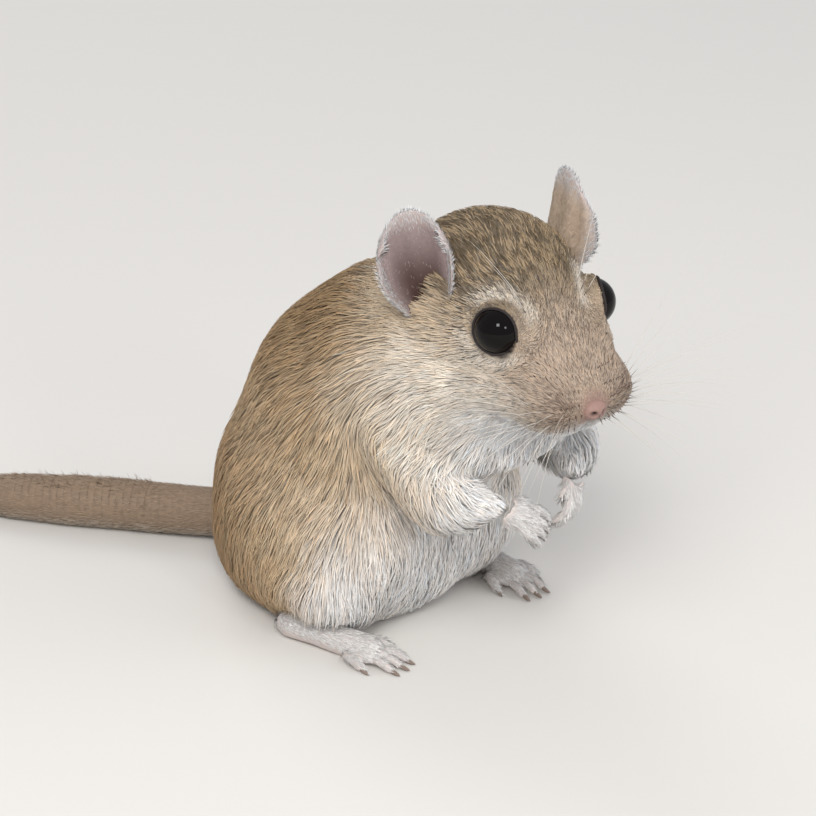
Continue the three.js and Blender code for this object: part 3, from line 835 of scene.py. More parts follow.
def sweep_tree():
    tree, start, end = tree_with("sweep", [("Sides", "NodeSocketInt", 12),
                                           ("Material", "NodeSocketMaterial", None)])
    nodes, links = tree.nodes, tree.links
    curve = nodes.new("GeometryNodeMeshToCurve")
    radius = nodes.new("GeometryNodeInputNamedAttribute")
    radius.data_type = "FLOAT"
    radius.inputs["Name"].default_value = "width"
    ring = nodes.new("GeometryNodeCurvePrimitiveCircle")
    ring.inputs["Radius"].default_value = 1.0
    sweep = nodes.new("GeometryNodeCurveToMesh")
    sweep.inputs["Fill Caps"].default_value = True
    real = nodes.new("GeometryNodeRealizeInstances")
    finish = nodes.new("GeometryNodeSetMaterial")
    links.new(start.outputs["Material"], finish.inputs["Material"])
    links.new(start.outputs["Geometry"], curve.inputs["Mesh"])
    links.new(start.outputs["Sides"], ring.inputs["Resolution"])
    links.new(curve.outputs[0], sweep.inputs["Curve"])
    links.new(radius.outputs["Attribute"], sweep.inputs["Scale"])
    links.new(ring.outputs[0], sweep.inputs["Profile Curve"])
    links.new(sweep.outputs[0], real.inputs[0])
    links.new(real.outputs[0], finish.inputs["Geometry"])
    links.new(finish.outputs[0], end.inputs["Geometry"])
    return tree


tail_line = catmull(TAIL_PATH, TAIL_STEPS)
tail_share = np.linspace(0, 1, TAIL_STEPS)
tail_radius = np.interp(tail_share, np.linspace(0, 1, len(TAIL_SHARES)), TAIL_SHARES) * TAIL_THICKNESS
tail_radius *= np.sqrt(np.clip(1 - ((tail_share - TIP_STARTS) / (1 - TIP_STARTS)).clip(0, 1) ** 2, 0.004, 1))
tail_radius *= 1 + RING_DEPTH * np.sin(tail_share * 2 * np.pi * TAIL_RINGS)
tail_line[:, 2] = np.maximum(tail_line[:, 2], tail_radius * 1.01)
path = bpy.data.meshes.new("tail_path")
path.from_pydata(to_frame(tail_line).tolist(), [(i, i + 1) for i in range(TAIL_STEPS - 1)], [])
width = path.attributes.new("width", "FLOAT", "POINT")
width.data.foreach_set("value", (tail_radius * MM).astype(np.float32))
SWEEP = sweep_tree()
tail_mesh = grown("tail", path, SWEEP, {"Sides": TAIL_SIDES, "Material": bare_material})
tail_points, tail_faces = points_of(tail_mesh), triangles_of(tail_mesh)
print("tail:", len(tail_faces), "triangles")

# %% [markdown]
# ## Eyes, lids and nose
# The eyes are black glossy balls set in the sockets. A dark lid follows each ball closely and draws out
# to a small corner towards the nose. The nose pad is a bare cushion with two nostrils and a groove below;
# both are sunk and painted dark, as painted shade in these hollows.

# %% Eyes, lids and nose
LID_CORNER = 0.2
LID_RADIUS = 0.2
LID_STEPS = 72
LID_SIDES = 10
NOSE_RADII = np.array([1.75, 1.35, 1.3])
NOSE_FORWARD = np.array([0.0, -0.65, 0.1])
NOSTRIL_DEPTH = 0.55
GROOVE_DEPTH = 0.16
GROOVE_WIDTH = 0.09


def ball(radii, across=48, rings=32):
    """A sphere's grid of points with its poles along Y, its triangles, and the directions of its points."""
    share, turn_share = np.meshgrid(np.linspace(0, 1, rings + 1)[1:-1], np.arange(across) / across,
                                    indexing="ij")
    polar = share.ravel() * np.pi
    round_y = turn_share.ravel() * 2 * np.pi
    ways = np.stack([np.sin(polar) * np.cos(round_y), -np.cos(polar),
                     np.sin(polar) * np.sin(round_y)], axis=1)
    ways = np.vstack([ways, [[0, -1, 0], [0, 1, 0]]])
    faces = []
    for ring in range(rings - 2):
        for i in range(across):
            a, b = ring * across + i, ring * across + (i + 1) % across
            faces += [(a, b, b + across), (a, b + across, a + across)]
    first, last = len(ways) - 2, len(ways) - 1
    for i in range(across):
        faces.append((first, (i + 1) % across, i))
        faces.append((last, (rings - 2) * across + i, (rings - 2) * across + (i + 1) % across))
    points = ways * radii
    return points, facing_out(points, np.array(faces)), ways


def eye_piece(name):
    centre = out_of_head(mirror(EYE_IN_HEAD, SIDES[name]))
    points, faces = ball(np.full(3, EYE_RADIUS))[:2]
    mesh = mesh_from(f"eye_{name}", points + centre, faces)
    piece = piece_from(f"eyeball_{name}", mesh, "eye", eye_material)
    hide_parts(f"eye_{name}")
    return piece


def lid(name):
    """A closed tube that runs round the opening of the eye, with a small corner towards the nose."""
    side = SIDES[name]
    centre = mirror(EYE_IN_HEAD, side)
    looks = mirror(EYE_LOOKS, side)
    to_nose = unit(np.array([0, -1, -0.25]) - looks * np.dot([0, -1, -0.25], looks))
    up = np.cross(looks, to_nose)
    angle = np.linspace(0, 2 * np.pi, LID_STEPS, endpoint=False)
    corner = LID_CORNER * (np.maximum(np.cos(angle), 0) ** 10 + 0.5 * np.maximum(-np.cos(angle), 0) ** 8)
    opening = (LID_ANGLE + corner)[:, None]
    spoke = np.cos(angle)[:, None] * to_nose + np.sin(angle)[:, None] * up
    ways = np.cos(opening) * looks + np.sin(opening) * spoke
    line = centre + ways * (EYE_RADIUS + 0.06)
    along = unit(np.roll(line, -1, axis=0) - np.roll(line, 1, axis=0))
    third = np.cross(along, ways)
    turns = np.arange(LID_SIDES) / LID_SIDES * 2 * np.pi
    ring = (np.cos(turns)[None, :, None] * ways[:, None] + np.sin(turns)[None, :, None] * third[:, None])
    points = (line[:, None] + ring * LID_RADIUS).reshape(-1, 3)
    i, j = np.meshgrid(np.arange(LID_STEPS), np.arange(LID_SIDES), indexing="ij")
    a = (i * LID_SIDES + j).ravel()
    b = (i * LID_SIDES + (j + 1) % LID_SIDES).ravel()
    c = ((i + 1) % LID_STEPS * LID_SIDES + (j + 1) % LID_SIDES).ravel()
    d = ((i + 1) % LID_STEPS * LID_SIDES + j).ravel()
    faces = facing_out(points, np.concatenate([np.stack([a, b, c], 1), np.stack([a, c, d], 1)]))
    return out_of_head(points), faces, np.tile(LID, (len(points), 1))


def nose_pad():
    points, faces, ways = ball(NOSE_RADII, 64, 44)
    nostril = sum(np.exp(-(np.linalg.norm(ways - unit(mirror((0.50, -0.82, -0.05 + lean), side)), axis=1)
                           / (0.20 + lean)) ** 2)
                  for side in SIDES.values() for lean in (0.0, 0.08))
    low_front = smooth(0.1, -0.3, ways[:, 2]) * smooth(0.1, -0.4, ways[:, 1])
    groove = np.exp(-(ways[:, 0] / GROOVE_WIDTH) ** 2) * low_front
    sunk = NOSTRIL_DEPTH * np.minimum(nostril, 1) + GROOVE_DEPTH * groove
    colours = np.tile(np.array(PINK) * 0.9, (len(points), 1))
    # Painted shade: the sunk nostrils and the groove below them are painted dark, as the shade in these
    # hollows.
    colours = lay(colours, np.minimum(nostril, 1) * 0.85, LID)
    colours = lay(colours, groove * 0.5, LID)
    return out_of_head(points * (1 - sunk[:, None]) + NOSE + NOSE_FORWARD), faces, colours


eye_material = painted("eye_gloss", COLOUR, 0.03, 900.0, 0.0, Specular_IOR_Level=0.16)
eye_surface = eye_material.node_tree.nodes["Principled BSDF"]
eye_material.node_tree.links.remove(eye_surface.inputs["Base Color"].links[0])
eye_surface.inputs["Base Color"].default_value = (0.003, 0.002, 0.002, 1)
eyes = [eye_piece(name) for name in SIDES]
lids = [lid(name) for name in SIDES]
nose = nose_pad()
print("eyes:", [piece.name for piece in eyes], "nose triangles:", len(nose[1]))

# %% [markdown]
# ## The mouth
# The mouth is a fine line: down from the nose, then back along each lip. The skin sinks along it and is
# painted dark there as the painted shade of the slit, and the coat parts there.

# %% Mouth
HEAD_CENTRE = np.array([0.0, -4.0, -1.0])
MOUTH_SINK = 0.35
MOUTH_WIDTH = 0.45
skin_tree = BVHTree.FromPolygons(skin_points.tolist(), body_faces.tolist())


def mouth_rays():
    corner = np.array([0.42, -0.62, -0.66])
    centre = np.array([0, -0.86, -0.5])
    for share in np.linspace(-1, 1, 41):
        size = abs(share)
        dip = 0.1 * math.sin(size * math.pi)
        yield np.array([share * corner[0], centre[1] + (corner[1] - centre[1]) * size,
                        centre[2] + (corner[2] - centre[2]) * size - dip])
    for share in np.linspace(0, 1, 10):
        yield np.array([0, -0.93 + 0.07 * share, -0.32 - 0.18 * share])


def mouth_line():
    start = out_of_head(HEAD_CENTRE)
    hits = [skin_tree.ray_cast(Vector(start), Vector(HEAD_TURN @ unit(ray))) for ray in mouth_rays()]
    return np.array([hit[0] for hit in hits if hit[0] is not None])


mouth = mouth_line()


def mouth_distance(points):
    gap = np.full(len(points), 9.0)
    close = np.linalg.norm(points - mouth.mean(axis=0), axis=1) < 12
    gap[close] = np.linalg.norm(points[close][:, None] - mouth[None], axis=2).min(axis=1)
    return gap


mouth_sink = MOUTH_SINK * np.exp(-(mouth_distance(skin_points) / MOUTH_WIDTH) ** 2)
skin_points = skin_points - skin_normals * mouth_sink[:, None]
print("points along the mouth:", len(mouth))

# %% [markdown]
# ## One skin
# Body, ears, paws, feet, tail, lids and nose become one piece, which takes the place of all the solids of
# flesh. Furred parts and bare parts have their own material.

# %% One skin
FINGER_SKIN = (0.56, 0.49, 0.46)
TAIL_TAN = (0.22, 0.155, 0.105)
FUR_UNDER = 0.75
MOUTH_SHADE = (0.12, 0.07, 0.06)
MOUTH_SHADE_WIDTH = 0.5


def skin_parts():
    """Every surface of the skin with its colours, and one for a bare surface or zero for a furred one."""
    under = markings(skin_points) * FUR_UNDER
    # Painted shade: the skin is darkened along the mouth line, as the shade in the slit of the mouth.
    under = lay(under, np.exp(-(mouth_distance(skin_points) / MOUTH_SHADE_WIDTH) ** 2) * 0.8, MOUTH_SHADE)
    yield skin_points, body_faces, under, 0
    for part in ears.values():
        yield part["points"], part["faces"], part["colours"], 1
    for points, faces in ends.values():
        yield points, faces, np.tile(FINGER_SKIN, (len(points), 1)), 1
    yield tail_points, tail_faces, np.tile(TAIL_TAN, (len(tail_points), 1)), 1
    for points, faces, colours in lids + [nose]:
        yield points, faces, colours, 1


def skin_piece():
    points, faces, colours, bare = [], [], [], []
    count = 0
    for part_points, part_faces, part_colours, part_bare in skin_parts():
        points.append(part_points)
        faces.append(part_faces + count)
        colours.append(part_colours)
        bare.append(np.full(len(part_faces), part_bare, np.int32))
        count += len(part_points)
    mesh = mesh_from("skin", np.concatenate(points), np.concatenate(faces), np.concatenate(colours))
    piece = piece_from("skin", mesh, "coat_back", skin_material, bare_material)
    mesh.polygons.foreach_set("material_index", np.concatenate(bare))
    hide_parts(*[name for name in frame["nodes"] if not name.startswith("eye")])
    return piece


skin = skin_piece()
print("skin:", len(skin.data.polygons), "triangles")

# %% [markdown]
# ## Tufts
# A tuft is a thin closed blade with three sides. Its root is a point in the skin, it widens, follows the
# skin along the lie of the coat, and ends in a point near the outline. Neighbours lean together into
# locks, as dry fur does.


# %% Tuft helpers
SEED = 20
LEADERS = 0.09
FLOOR_CLEAR = 0.12
BLADE_FLATNESS = 0.6
OWN_SHADING = 0.5
PATCH = 0.003
rng = np.random.default_rng(SEED)


def scatter(points, faces, density):
    """Random places on a surface, as many to the square millimetre as density says at each triangle."""
    corners = points[faces]
    area = np.linalg.norm(np.cross(corners[:, 1] - corners[:, 0], corners[:, 2] - corners[:, 0]), axis=1) / 2
    weight = area * density
    count = int(round(weight.sum()))
    pick = rng.choice(len(faces), count, p=weight / weight.sum())
    bary = rng.dirichlet((1, 1, 1), count)
    return pick, bary


def blend_at(values, faces, pick, bary):
    corners = values[faces[pick]]
    return (corners * bary.reshape(bary.shape + (1,) * (corners.ndim - 2))).sum(axis=1)


def walk(tree, places, ways, step):
    """Moves places along the ways by a step and back onto the surface."""
    found = [tree.find_nearest(place) for place in (places + ways * step[:, None]).tolist()]
    spots = np.array([hit[0] for hit in found])
    normals = np.array([hit[1] for hit in found])
    return spots, normals


def locks(roots, ways, length, pull):
    """How far each tip leans sideways, towards the nearest tuft that leads a lock."""
    leaders = roots[rng.random(len(roots)) < LEADERS]
    index = BVHTree.FromPolygons(leaders.tolist(), [(i, i, i) for i in range(len(leaders))])
    nearest = np.array([index.find_nearest(root)[0] for root in roots.tolist()])
    aside = nearest - roots
    aside -= (aside * ways).sum(axis=1, keepdims=True) * ways
    reach = np.linalg.norm(aside, axis=1, keepdims=True)
    return aside * np.minimum(1, length[:, None] * 0.4 / np.maximum(reach, 1e-6)) * pull


def combed(tree, roots, normals, ways, length, lift, stations, sway):
    """The line of each tuft: a place and a normal at every station from root to tip."""
    line, ups = [roots - normals * 0.12], [normals]
    spot, up, way = roots, normals, ways
    shares = np.linspace(0, 1, stations)
    for before, share in zip(shares[:-1], shares[1:]):
        spot, fresh = walk(tree, spot, way, length * (share - before))
        up = unit(up * 0.5 + fresh)
        way = unit(way - (way * up).sum(axis=1, keepdims=True) * up)
        height = lift * math.sin(min(share * 1.15, 1) * math.pi / 2)
        line.append(spot + up * height[:, None] + sway * share ** 2)
        ups.append(up)
    line = np.stack(line, axis=1)
    line[:, :, 2] = np.maximum(line[:, :, 2], FLOOR_CLEAR + 0.1 * np.abs(np.sin(line[:, :, 0] * 9)))
    return line, np.stack(ups, axis=1)


def blades(line, ups, widths):
    """Points, triangles, normals and patch coordinates of closed three-sided blades along the lines."""
    count, stations = line.shape[:2]
    rings = stations - 2
    along = unit(line[:, 2:] - line[:, :-2])
    inner_up = ups[:, 1:-1]
    across = unit(np.cross(along, inner_up))
    top = np.cross(across, along)
    points, normals, patch = [line[:, :1]], [ups[:, :1]], [np.tile([0.5, 0.0], (count, 1, 1))]
    ring_points = np.empty((count, rings, 3, 3))
    ring_normals = np.empty((count, rings, 3, 3))
    for i, angle in enumerate((90, 210, 330)):
        spoke = math.cos(math.radians(angle)) * across + math.sin(math.radians(angle)) * BLADE_FLATNESS * top
        ring_points[:, :, i] = line[:, 1:-1] + spoke * widths[:, :, None]
        ring_normals[:, :, i] = unit(unit(spoke) * OWN_SHADING + inner_up)
    points.append(ring_points.reshape(count, -1, 3))
    normals.append(ring_normals.reshape(count, -1, 3))
    spread = np.array([[0.5, 0.0, 1.0]] * rings).ravel()
    height = np.repeat(np.arange(1, rings + 1) / (rings + 1), 3)
    patch.append(np.tile(np.stack([spread, height], axis=1), (count, 1, 1)))
    points.append(line[:, -1:])
    normals.append(ups[:, -1:])
    patch.append(np.tile([0.5, 1.0], (count, 1, 1)))
    faces = [(0, 1 + i, 1 + (i + 1) % 3) for i in range(3)]
    for ring in range(rings - 1):
        base = 1 + ring * 3
        for i in range(3):
            after = (i + 1) % 3
            faces += [(base + i, base + 3 + i, base + 3 + after), (base + i, base + 3 + after, base + after)]
    base, tip = 1 + (rings - 1) * 3, 1 + rings * 3
    faces += [(base + i, tip, base + (i + 1) % 3) for i in range(3)]
    faces = np.array(faces)
    points = np.concatenate(points, axis=1)
    one = points[0]
    if (one[faces[:, 0]] * np.cross(one[faces[:, 1]], one[faces[:, 2]])).sum() < 0:
        faces = faces[:, ::-1]
    size = points.shape[1]
    all_faces = (faces[None] + (np.arange(count) * size)[:, None, None]).reshape(-1, 3)
    return (points.reshape(-1, 3), all_faces, np.concatenate(normals, axis=1).reshape(-1, 3),
            np.concatenate(patch, axis=1))


def widths_along(count, stations, width):
    """Half the width of each tuft at the stations between root and tip."""
    shape = np.interp(np.linspace(0, 1, stations)[1:-1], [0, 0.3, 0.7, 1], [0.6, 1.0, 0.75, 0])
    return (width * (0.75 + 0.5 * rng.random(count)))[:, None] * shape[None]


def station_colours(colours):
    """Repeats the three colours of a ring, so that each point of a blade has one."""
    ring = np.repeat(colours[:, 1:-1], 3, axis=1)
    return np.concatenate([colours[:, :1], ring, colours[:, -1:]], axis=1).reshape(-1, 3)


def coat_piece(name, slot, groom, unwrapped, pick=slice(None)):
    """One piece of the coat from the tufts that are picked, each with its patch at its root's place."""
    line, ups, widths, colours = (part[pick] for part in groom)
    points, faces, normals, patch = blades(line, ups, widths)
    uvs = unwrapped[pick][:, None] + (patch - 0.5) * PATCH
    mesh = mesh_from(name, points, faces, station_colours(colours), uvs.reshape(-1, 2), normals)
    piece = piece_from(name, mesh, slot, fur_material)
    print(name, len(line), "tufts", len(faces), "triangles")
    return piece


def around(points, centre, pole):
    """An unwrap of a rounded surface: directions from its middle, laid flat round a pole."""
    ways = unit(points - np.asarray(centre))
    pole = unit(pole)
    east = unit(np.cross(pole, [0.3, 0.2, 1.0]))
    north = np.cross(east, pole)
    angle = np.arccos(np.clip(ways @ pole, -1, 1))
    flat = np.stack([ways @ east, ways @ north], axis=1)
    flat /= np.maximum(np.linalg.norm(flat, axis=1, keepdims=True), 1e-9)
    return 0.5 + flat * (angle / angle.max() * 0.495)[:, None]


print("a body tuft has 12 triangles, a face tuft 6")

# %% [markdown]
# ## How long, how high and how dense
# Hair is shortest on the snout and round the eyes, and longest on the back and belly. The coat is dense on
# the head, where the tufts are small, and parts at the eyes, nose and mouth.

# %% Grooming rules
BODY_DENSITY = 12.0
CHEEK_DENSITY = 21.5
FACE_DENSITY = 34.0
BODY_WIDTH_OF_TUFT = 0.11
HEAD_WIDTH_OF_TUFT = 0.065


CHEEK_HAIR = 4.3
CROWN_HAIR = 2.3
FLANK_HAIR = 7.6
BACK_HAIR = 8.8
RUFF_HAIR = 6.0
LIMB_HAIR = 2.2
SHORT_SNOUT = 0.38
SHORT_AT_EYE = 0.28
SHORT_AT_NOSE = 0.35


def hair_length(points):
    local = in_head(points)
    from_nose = np.linalg.norm(local - NOSE, axis=1)
    face = CHEEK_HAIR + (CROWN_HAIR - CHEEK_HAIR) * smooth(-1, 7, local[:, 2])
    face = face * (1 + (SHORT_SNOUT - 1) * smooth(-5, -15, local[:, 1]))
    face = face * (SHORT_AT_EYE + (1 - SHORT_AT_EYE) * smooth(3.6, 8.5, eye_distance(local)))
    face = face * (SHORT_AT_NOSE + (1 - SHORT_AT_NOSE) * smooth(2.0, 6.0, from_nose))
    high_back = smooth(24, 40, points[:, 2]) * smooth(-4, 8, points[:, 1])
    body = FLANK_HAIR + (BACK_HAIR - FLANK_HAIR) * high_back
    body = body + (RUFF_HAIR - FLANK_HAIR) * region(points, (0, -16, 34), (17, 12, 12), 0.3)
    off_arms = smooth(2.5, 11, near(points, WRISTS)) * smooth(2.5, 9, near(points, ELBOWS) + 4)
    body = LIMB_HAIR + (body - LIMB_HAIR) * off_arms * smooth(2.5, 9, near(points, ANKLES))
    share = headness(points)
    return face * share + body * (1 - share)


EAR_CANAL = np.array([0, -1.2, 2.5])


def coat_density(points):
    """Tufts to the square millimetre; none grow on lids, nose pad, lips and in the ear."""
    local = in_head(points)
    share = headness(points)
    front = snoutness(points)
    density = BODY_DENSITY * (1 - share) + (CHEEK_DENSITY + (FACE_DENSITY - CHEEK_DENSITY) * front) * share
    at_lid = smooth(LID_ANGLE + 0.14, LID_ANGLE + 0.08, eye_angle(local)) * (eye_distance(local) < 4.5)
    density = density * (1 - at_lid)
    density = density * smooth(1.3, 1.75, np.linalg.norm(local - NOSE, axis=1))
    density = density * smooth(0.2, 0.45, mouth_distance(points))
    ear_roots = [mirror(EAR_AT, side) for side in SIDES.values()]
    from_canal = [np.linalg.norm(local - root - EAR_CANAL, axis=1) for root in ear_roots]
    return density * smooth(1.6, 2.6, np.min(from_canal, axis=0))


def part_round_eyes(points, ways, normals):
    """Near an eye the hair turns away from the ball instead of crossing it."""
    for side in SIDES.values():
        to_eye = out_of_head(mirror(EYE_IN_HEAD, side)) - points
        distance = np.linalg.norm(to_eye, axis=1)
        to_eye = unit(to_eye - (to_eye * normals).sum(axis=1, keepdims=True) * normals)
        facing = (ways * to_eye).sum(axis=1)
        turn_share = smooth(8.5, 4.2, distance) * np.maximum(facing, 0)
        ways = ways - to_eye * (turn_share * 1.15)[:, None]
        ways = ways - to_eye * (0.35 * smooth(5.2, 3.8, distance))[:, None]
    return unit(ways)


STREAK_SCALE = (1.3, 0.26, 0.8)


def noise_at(points, scale, shift=0.0):
    return np.array([noise.noise(Vector(p)) for p in (points * scale + shift).tolist()])


ROOT_SHADE = 0.62


def tuft_colours(points, stations, dark_share):
    """Colour at each station: greyish root, the coat's colour, and a tip that is dark on some tufts."""
    count = len(points)
    base = markings(points)
    shade = (1 + 0.09 * rng.standard_normal(count) + 0.16 * noise_at(points, 0.55)).clip(0.55, 1.4)
    warm = 0.04 * rng.standard_normal(count)
    base = base * shade[:, None] * np.stack([1 + warm, np.ones(count), 1 - warm], axis=1)
    streak = noise_at(in_head(points) * STREAK_SCALE, 1.0, 40.0)
    dark = rng.random(count) < dark_share * (0.6 + 1.3 * streak.clip(-0.3, 0.5))
    dark_tip = base * (0.5 - 0.34 * headness(points))[:, None]
    tip = np.where(dark[:, None], dark_tip, np.minimum(base * 1.12, 0.95))
    shares = np.linspace(0, 1, stations)
    colours = []
    for share in shares:
        root_mix = smooth(0.75, 0.0, share)
        tip_mix = smooth(0.45, 0.8, share)
        grey = base.mean(axis=1, keepdims=True) * np.array([1.0, 0.93, 0.88]) * ROOT_SHADE
        now = base + (grey - base) * root_mix
        colours.append(now + (tip - now) * tip_mix)
    return np.stack(colours, axis=1)


LOCK_PULL = 0.6
HAIR_WANDERS = 0.10
COAT_WANDERS = 0.36


def groomed(roots, normals, ways, tree, stations, width, length, lift, dark_share):
    """Everything that the blades of one patch of coat need."""
    count = len(roots)
    swing = noise_at(roots, 0.3, 7.0) * COAT_WANDERS + HAIR_WANDERS * rng.standard_normal(count)
    sideways = np.cross(normals, ways)
    ways = unit(ways + sideways * swing[:, None])
    length = length * (0.8 + 0.4 * rng.random(count))
    lift = lift * (0.65 + 0.5 * rng.random(count))
    sway = locks(roots, ways, length, LOCK_PULL)
    line, ups = combed(tree, roots, normals, ways, length, lift, stations, sway)
    widths = widths_along(count, stations, width)
    return line, ups, widths, tuft_colours(roots, stations, dark_share)


# %% [markdown]
# ## Coat of the body and head
# The roots are scattered over the whole skin at once, and then shared out among pieces that each keep
# below the limit of triangles.

# %% Coat of the body and head
skin_tree = BVHTree.FromPolygons(skin_points.tolist(), body_faces.tolist())
skin_normals = vertex_normals(skin_points, body_faces)


def body_roots(density):
    centres = skin_points[body_faces].mean(axis=1)
    pick, bary = scatter(skin_points, body_faces, density(centres))
    roots = blend_at(skin_points, body_faces, pick, bary)
    normals = unit(blend_at(skin_normals, body_faces, pick, bary))
    ways = part_round_eyes(roots, lie(roots, normals), normals)
    return roots, normals, unit(ways - (ways * normals).sum(axis=1, keepdims=True) * normals)


def body_groom(roots, normals, ways, stations, width):
    return groomed(roots, normals, ways, skin_tree, stations, width, hair_length(roots), coat_depth(roots),
                   grizzle(roots))


SHORT_FACE = 0.5
BODY_MIDDLE = (0.0, 3.0, 27.0)
HEAD_MIDDLE = out_of_head(HEAD_CENTRE)


def coat_of_face():
    roots, normals, ways = body_roots(lambda p: coat_density(p) * (snoutness(p) > SHORT_FACE))
    groom = body_groom(roots, normals, ways, 3, HEAD_WIDTH_OF_TUFT)
    unwrapped = around(roots, HEAD_MIDDLE, HEAD_TURN @ np.array([0, -1, -0.2]))
    return [coat_piece("coat_face", "coat_face", groom, unwrapped)]


def coat_of_head():
    roots, normals, ways = body_roots(
        lambda p: coat_density(p) * (snoutness(p) <= SHORT_FACE) * (headness(p) > 0.5))
    groom = body_groom(roots, normals, ways, 4, HEAD_WIDTH_OF_TUFT * 1.15)
    local = in_head(roots)
    top = local[:, 2] > 1.5
    pieces = []
    for name, slot, pick, pole in (("coat_crown", "coat_face", top, (0, 0.4, 1)),
                                   ("coat_cheeks", "coat_pale", ~top, (0, -0.4, -1))):
        unwrapped = around(roots, HEAD_MIDDLE, HEAD_TURN @ np.array(pole, float))
        pieces.append(coat_piece(name, slot, groom, unwrapped, pick))
    return pieces


def coat_of_body():
    roots, normals, ways = body_roots(lambda p: coat_density(p) * (headness(p) <= 0.5))
    groom = body_groom(roots, normals, ways, 4, BODY_WIDTH_OF_TUFT)
    x, y, z = roots.T
    front = y < -4 - (z - 27) * 0.25
    ruff = front & (z > 24)
    belly = front & (z <= 24)
    back = ~front & (z > 34)
    rear = ~front & ~back & (y > 14)
    side = ~front & ~back & ~rear
    areas = (("coat_ruff", "coat_pale", ruff, (0, -1, 0.3)),
             ("coat_belly", "coat_pale", belly, (0, -1, -0.6)),
             ("coat_back", "coat_back", back, (0, 0.5, 1)),
             ("coat_rump_right", "coat_back", rear & (x < 0), (-0.7, 0.7, -0.2)),
             ("coat_rump_left", "coat_back", rear & (x >= 0), (0.7, 0.7, -0.2)),
             ("coat_flank_right", "coat_back", side & (x < 0), (-1, 0, 0)),
             ("coat_flank_left", "coat_back", side & (x >= 0), (1, 0, 0)))
    return [coat_piece(name, slot, groom, around(roots, BODY_MIDDLE, pole), pick)
            for name, slot, pick, pole in areas]


coats = coat_of_face() + coat_of_head() + coat_of_body()

# %% [markdown]
# ## Short hair on ears, hands, feet and tail
# Here the hair is so short that the skin shows through. On the ears it is white along the rim, very thin
# inside the cup, and tan behind. On the tail it lies back towards the tip.

# %% Short coat
EAR_HAIR = 0.8
FOOT_HAIR = 0.95
TAIL_HAIR = 1.7
TAIL_COAT = (0.30, 0.22, 0.155)
EAR_COAT_OUT = (0.46, 0.36, 0.26)
EAR_COAT_IN = (0.36, 0.30, 0.28)


def short_coat(points, faces, ways, density, length, colours, lift, width, stations=3):
    """Tufts on a small surface whose lie, length and colour are given at each of its points."""
    normals_here = vertex_normals(points, faces)
    pick, bary = scatter(points, faces, density)
    roots = blend_at(points, faces, pick, bary)
    normals = unit(blend_at(normals_here, faces, pick, bary))
    way = blend_at(ways, faces, pick, bary)
    way = unit(way - (way * normals).sum(axis=1, keepdims=True) * normals)
    way = unit(way + np.cross(normals, way) * (0.22 * rng.standard_normal(len(roots)))[:, None])
    long = blend_at(length, faces, pick, bary) * (0.75 + 0.5 * rng.random(len(roots)))
    line, ups = [roots - normals * 0.05], [normals]
    for share in np.linspace(0, 1, stations)[1:]:
        rise = lift * long * share * (1.2 - 0.4 * share)
        line.append(roots + way * (long * share)[:, None] + normals * rise[:, None])
        ups.append(normals)
    line = np.stack(line, axis=1)
    line[:, :, 2] = np.maximum(line[:, :, 2], FLOOR_CLEAR)
    widths = widths_along(len(roots), stations, width)
    base = blend_at(colours, faces, pick, bary) * (1 + 0.13 * rng.standard_normal(len(roots)))[:, None]
    tints = np.stack([base * share for share in np.linspace(0.75, 1.1, stations)], axis=1)
    return (line, np.stack(ups, axis=1), widths, tints), roots, pick, bary


def islands(grooms, maps):
    """Several grooms as one, each with its map in a cell of its own."""
    cells = math.ceil(math.sqrt(len(maps)))
    placed = [(np.clip(flat, 0.01, 0.99) + [i % cells, i // cells]) / cells for i, flat in enumerate(maps)]
    return tuple(np.concatenate(parts) for parts in zip(*grooms)), np.concatenate(placed)


def coat_of_ears():
    grooms, maps = [], []
    for part in ears.values():
        u, v, back, faces = part["u"], part["v"], part["back"], part["faces"]
        rim = smooth(0.7, 0.95, np.maximum(np.abs(u), v))
        density = np.where(back, 24.0, 1.0 + 20.0 * rim + 5.0 * smooth(0.4, 0.8, np.abs(u)))
        length = np.where(back, 1.1, 0.8 + 0.6 * rim) * EAR_HAIR * (0.8 + 0.3 * smooth(0.6, 0.2, v))
        colours = lay(np.tile(np.array(SNOW) * 0.8, (len(u), 1)), back * (1 - rim), EAR_COAT_OUT)
        colours = lay(colours, ~back * (1 - rim), EAR_COAT_IN)
        groom, _, pick, bary = short_coat(part["points"], faces, part["ways"], density[faces].mean(axis=1),
                                          length, colours, lift=0.22, width=0.035)
        place = np.stack([(u + 1) / 4 + np.where(back, 0.5, 0.0), v], axis=1)
        grooms.append(groom)
        maps.append(blend_at(place, faces, pick, bary))
    groom, unwrapped = islands(grooms, maps)
    return coat_piece("coat_ears", "ear_skin", groom, unwrapped)


def coat_of_feet():
    grooms, maps = [], []
    for name, (points, faces) in ends.items():
        normals = vertex_normals(points, faces)
        side = name.split("_")[1]
        if name.startswith("foot"):
            way = unit([FOOT_WAYS[side][0], FOOT_WAYS[side][1], -0.1])
            top = smooth(-0.3, 0.3, normals[:, 2])
        else:
            way = unit(PAW_WAYS[side])
            top = 0.55 + 0.45 * smooth(-0.3, 0.3, normals @ unit(PAW_BACKS[side]))
        reach = (points - points.mean(axis=0)) @ way
        toward_tip = smooth(reach.max() * 0.55, reach.max() * 0.95, reach)
        density = 34.0 * top * (1 - 0.6 * toward_tip)
        length = FOOT_HAIR * (1.1 - 0.4 * toward_tip)
        colours = np.tile(np.array(WHITE), (len(points), 1))
        groom, roots = short_coat(points, faces, np.tile(way, (len(points), 1)), density[faces].mean(axis=1),
                                  length, colours, lift=0.3, width=0.05)[:2]
        grooms.append(groom)
        maps.append(around(roots, points.mean(axis=0), -way))
    groom, unwrapped = islands(grooms, maps)
    return coat_piece("coat_feet", "foot_skin", groom, unwrapped)


